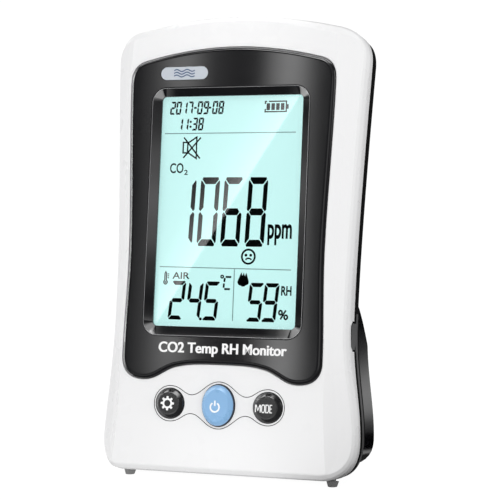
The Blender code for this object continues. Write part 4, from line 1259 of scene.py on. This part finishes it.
# What the recess's slopes mirror near by: a spot on the slope, its run and normal, and the strength
# by millimetres along it
SLOPE_REACH = 120
SLOPES = {"slope_left": ((-32.6, 0, 108), (0, 0, 1), (SLOPE_DROP, -3.4, 0),
                         ((-56, 8.6), (-47, 8.6), (-43, 2.4), (-39, 0.2), (-34, 0.05), (-22, 0.5), (-8, 1.6),
                          (4, 2.1), (18, 1.5), (35, 0.45), (42, 0.25), (48.5, 2.1), (52, 8), (56, 8))),
          "slope_right": ((32.6, 0, 108), (0, 0, 1), (-SLOPE_DROP, -3.4, 0),
                          ((-56, 4.5), (-52, 4.5), (-49.5, 3.4), (-45.5, 0.3), (-38, 0), (-25, 0.15),
                           (-12, 0.5), (8, 1), (28, 0.4), (39, 0.05), (44, 0.4), (48, 3), (52, 4.5),
                           (56, 4.5))),
          "slope_top": ((0, 0, 157.6), (1, 0, 0), (0, -3.2, -SLOPE_DROP),
                        ((-40, 6.5), (-31, 6), (-28, 3.8), (-25, 1.3), (-20, 0), (20, 0), (24, 0.3),
                         (26, 1.4), (28.5, 3.9), (31, 7.6), (40, 7.6))),
          "slope_bottom": ((0, 0, 58.2), (1, 0, 0), (0, -3.9, SLOPE_DROP),
                           ((-40, 7), (-31, 6), (-28.4, 3.2), (-26, 1), (-22, 0.1), (15, 0), (20, 0.5),
                            (23, 2.1), (25.5, 4.5), (28, 6.1), (40, 6.1)))}
# What the pod's right side mirrors: a near sheet behind it, by height in millimetres
POD_SHEET = ((0.072, 0.298), (0.196, 0.266), -130, 60)
POD_GLOW = ((-130, 0.0), (-104, 0.0), (-84, 0.5), (-68, 0.0), (-22, 0.0), (-8, 0.16), (4, 0.5), (16, 0.6),
            (24, 0.5), (29, 0.28), (33, 0.07), (38, 0.0), (60, 0.0))


def pod_strength(look, across, up):
    low, high = POD_SHEET[2:]
    return ramp(look, up, [((height - low) / (high - low), level) for height, level in POD_GLOW], 1.0,
                "LINEAR")


def slope_card(eye, name, spot, run, normal, stops):
    """A near sheet that shows in one slope of the recess and in nothing that looks another way."""
    middle = mirror_image(eye, *spot, SLOPE_REACH * MM, normal)
    towards = (middle - world(*spot)).normalized()
    low, high = stops[0][0], stops[-1][0]
    reach = CASE.to_3x3() @ Vector(run) * (high - low) / 2 * MM * (1 + SLOPE_REACH / VIEW_DISTANCE)
    side = towards.cross(reach).normalized() * 0.014

    def strength(look, across, up):
        seen = look.node("ShaderNodeNewGeometry").outputs["Incoming"]
        along = look.node("ShaderNodeVectorMath", {0: seen, 1: tuple(-towards)},
                          operation="DOT_PRODUCT").outputs["Value"]
        level = ramp(look, up, [((place - low) / (high - low), value) for place, value in stops], 10.0)
        return arithmetic(look, "MULTIPLY", level, arithmetic(look, "GREATER_THAN", along, 0.95))

    corners = [middle - side - reach, middle + side - reach, middle + side + reach, middle - side + reach]
    card(name, corners, emission(name, strength, see_through=True))


CORNER_REACH, CORNER_HALF = 120, 75
CORNER_GLOW = {(-1, 1): 6.5, (1, 1): 6.5, (-1, -1): 5.5, (1, -1): 5.0}     # by side and end of the recess


def corner_card(eye, side, end, glow):
    """A near sheet that shows in one round corner of the recess."""
    half, bottom, top = WINDOW_EDGE
    spot = (side * (half + 0.8), 0, top + 0.8 if end > 0 else bottom - 0.8)
    normal = (-side * 0.7 * SLOPE_DROP, -3.3, -end * 0.7 * SLOPE_DROP)
    middle = mirror_image(eye, *spot, CORNER_REACH * MM, normal)
    towards = (middle - world(*spot)).normalized()
    right = towards.cross(Vector((0, 0, 1))).normalized() * CORNER_HALF * MM
    up = right.cross(towards).normalized() * CORNER_HALF * MM

    def strength(look, across, up):
        seen = look.node("ShaderNodeNewGeometry").outputs["Incoming"]
        along = look.node("ShaderNodeVectorMath", {0: seen, 1: tuple(-towards)},
                          operation="DOT_PRODUCT").outputs["Value"]
        rise = look.node("ShaderNodeSeparateXYZ", {"Vector": seen}).outputs["Z"]
        low, high = (0.03, 0.2) if end > 0 else (-0.17, -0.36)
        steep = look.node("ShaderNodeMapRange", {"Value": rise, "From Min": low, "From Max": high}).outputs[0]
        level = arithmetic(look, "MULTIPLY", soft_edges(glow)(look, across, up), steep)
        return arithmetic(look, "MULTIPLY", level, arithmetic(look, "GREATER_THAN", along, 0.87))

    card(f"corner_{side}_{end}", [middle - right - up, middle + right - up, middle + right + up,
                                  middle - right + up],
         emission(f"corner_{side}_{end}", strength, see_through=True))


def make_cards(eye):
    bands = [mirror_image(eye, x, -BEZEL_RISE, z, 1.6) for x, z in
             ((-BAND_SPAN, 38), (BAND_SPAN, 38), (BAND_SPAN, 180), (-BAND_SPAN, 180))]
    card("bezel_card", bands, emission("bezel_card", band_strength))
    half, bottom, top = WINDOW_EDGE
    glare = [mirror_image(eye, x, WINDOW_FRONT, z, 1.5) for x, z in
             ((-half, bottom), (half, bottom), (half, top), (-half, top))]
    card("glare_card", glare, emission("glare_card", glare_strength))
    for name, (azimuths, elevations, strength) in SHEETS.items():
        sky_card(name, azimuths, elevations, soft_edges(strength))
    for name, slope in SLOPES.items():
        slope_card(eye, name, *slope)
    for (side, end), glow in CORNER_GLOW.items():
        corner_card(eye, side, end, glow)
    near, far, low, high = POD_SHEET
    corners = [(*near, low * MM), (*far, low * MM), (*far, high * MM), (*near, high * MM)]
    card("pod_card", corners, emission("pod_card", pod_strength))


def aimed_light(name, azimuth, elevation, distance, size, watts, spot=MIDDLE):
    towards = direction(azimuth, elevation)
    data = bpy.data.lights.new(name, "AREA")
    data.shape = "RECTANGLE"
    data.size, data.size_y = size
    data.energy = watts
    lamp = bpy.data.objects.new(name, data)
    bpy.context.scene.collection.objects.link(lamp)
    lamp.location = spot + distance * towards
    lamp.rotation_euler = towards.to_track_quat("Z", "Y").to_euler()
    lamp.visible_glossy = False
    return lamp


ROOM_SEEN, ROOM_MIRRORED, ROOM_LIGHT = 1.05, 0.03, 0.88
FLOOR_SEEN, FLOOR_LIGHT = 0.97, 0.78
DARK_SPOT = (0.085, 0.0, 0)         # the floor gives little light here, beside the lower right corner


def chosen(nodes, links, flag, yes, no):
    node = nodes.new("ShaderNodeMix")
    links.new(flag, node.inputs[0])
    for value, socket in ((no, node.inputs[2]), (yes, node.inputs[3])):
        if isinstance(value, float):
            socket.default_value = value
        else:
            links.new(value, socket)
    return node.outputs[0]


def make_world():
    """White behind the object, a dark room in mirror images, an even light elsewhere."""
    room = bpy.data.worlds.new("room")
    bpy.context.scene.world = room
    room.use_nodes = True
    nodes, links = room.node_tree.nodes, room.node_tree.links
    path = nodes.new("ShaderNodeLightPath")
    strength = chosen(nodes, links, path.outputs["Is Glossy Ray"], ROOM_MIRRORED, ROOM_LIGHT)
    strength = chosen(nodes, links, path.outputs["Is Camera Ray"], ROOM_SEEN, strength)
    links.new(strength, nodes["Background"].inputs["Strength"])
    nodes["Background"].inputs["Color"].default_value = (1, 1, 1, 1)


def make_floor():
    look = Look("floor_white")
    noise = look.grain(3)
    path = look.node("ShaderNodeLightPath")
    place = look.node("ShaderNodeTexCoord").outputs["Object"]
    away = look.node("ShaderNodeVectorMath", {0: place, 1: DARK_SPOT}, operation="DISTANCE").outputs["Value"]
    light = look.node("ShaderNodeMapRange", {"Value": away, "From Min": 0.035, "From Max": 0.07,
                                             "To Max": FLOOR_LIGHT}).outputs[0]
    strength = chosen(look.nodes, look.links, path.outputs["Is Camera Ray"], FLOOR_SEEN, light)
    look.set(Base_Color=look.mix(noise, (0.10, 0.10, 0.10, 1), (0.11, 0.11, 0.11, 1)), Roughness=0.8,
             Specular_IOR_Level=0.0, Emission_Color=(1, 1, 1, 1), Emission_Strength=strength)
    data = bpy.data.meshes.new("floor")
    data.from_pydata([(-6, -6, 0), (6, -6, 0), (6, 6, 0), (-6, 6, 0)], [], [(0, 1, 2, 3)])
    data.materials.append(look.material)
    floor = bpy.data.objects.new("floor", data)
    bpy.context.scene.collection.objects.link(floor)
    floor.visible_glossy = False


def make_studio():
    bpy.context.scene.view_settings.view_transform = "Standard"
    eye = make_camera()
    make_world()
    make_floor()
    make_cards(eye)
    aimed_light("key", -10, 40, 1.5, (0.45, 0.45), 2.2)
    aimed_light("side", 75, 10, 1.5, (0.45, 0.45), 2.6)
    for z in (8, 183):
        aimed_light(f"sheen_{z}", 0, 7, 0.05, (0.004, 0.02), 0.0026, world(0, 0, z))


# ---------------------------------------------------------------- assembly

dress_nodes()
make_front_housing()
make_bezel()
make_plate()
make_buttons()
make_prints()
make_marks()
make_rear_housing()
make_pod()
make_studio()
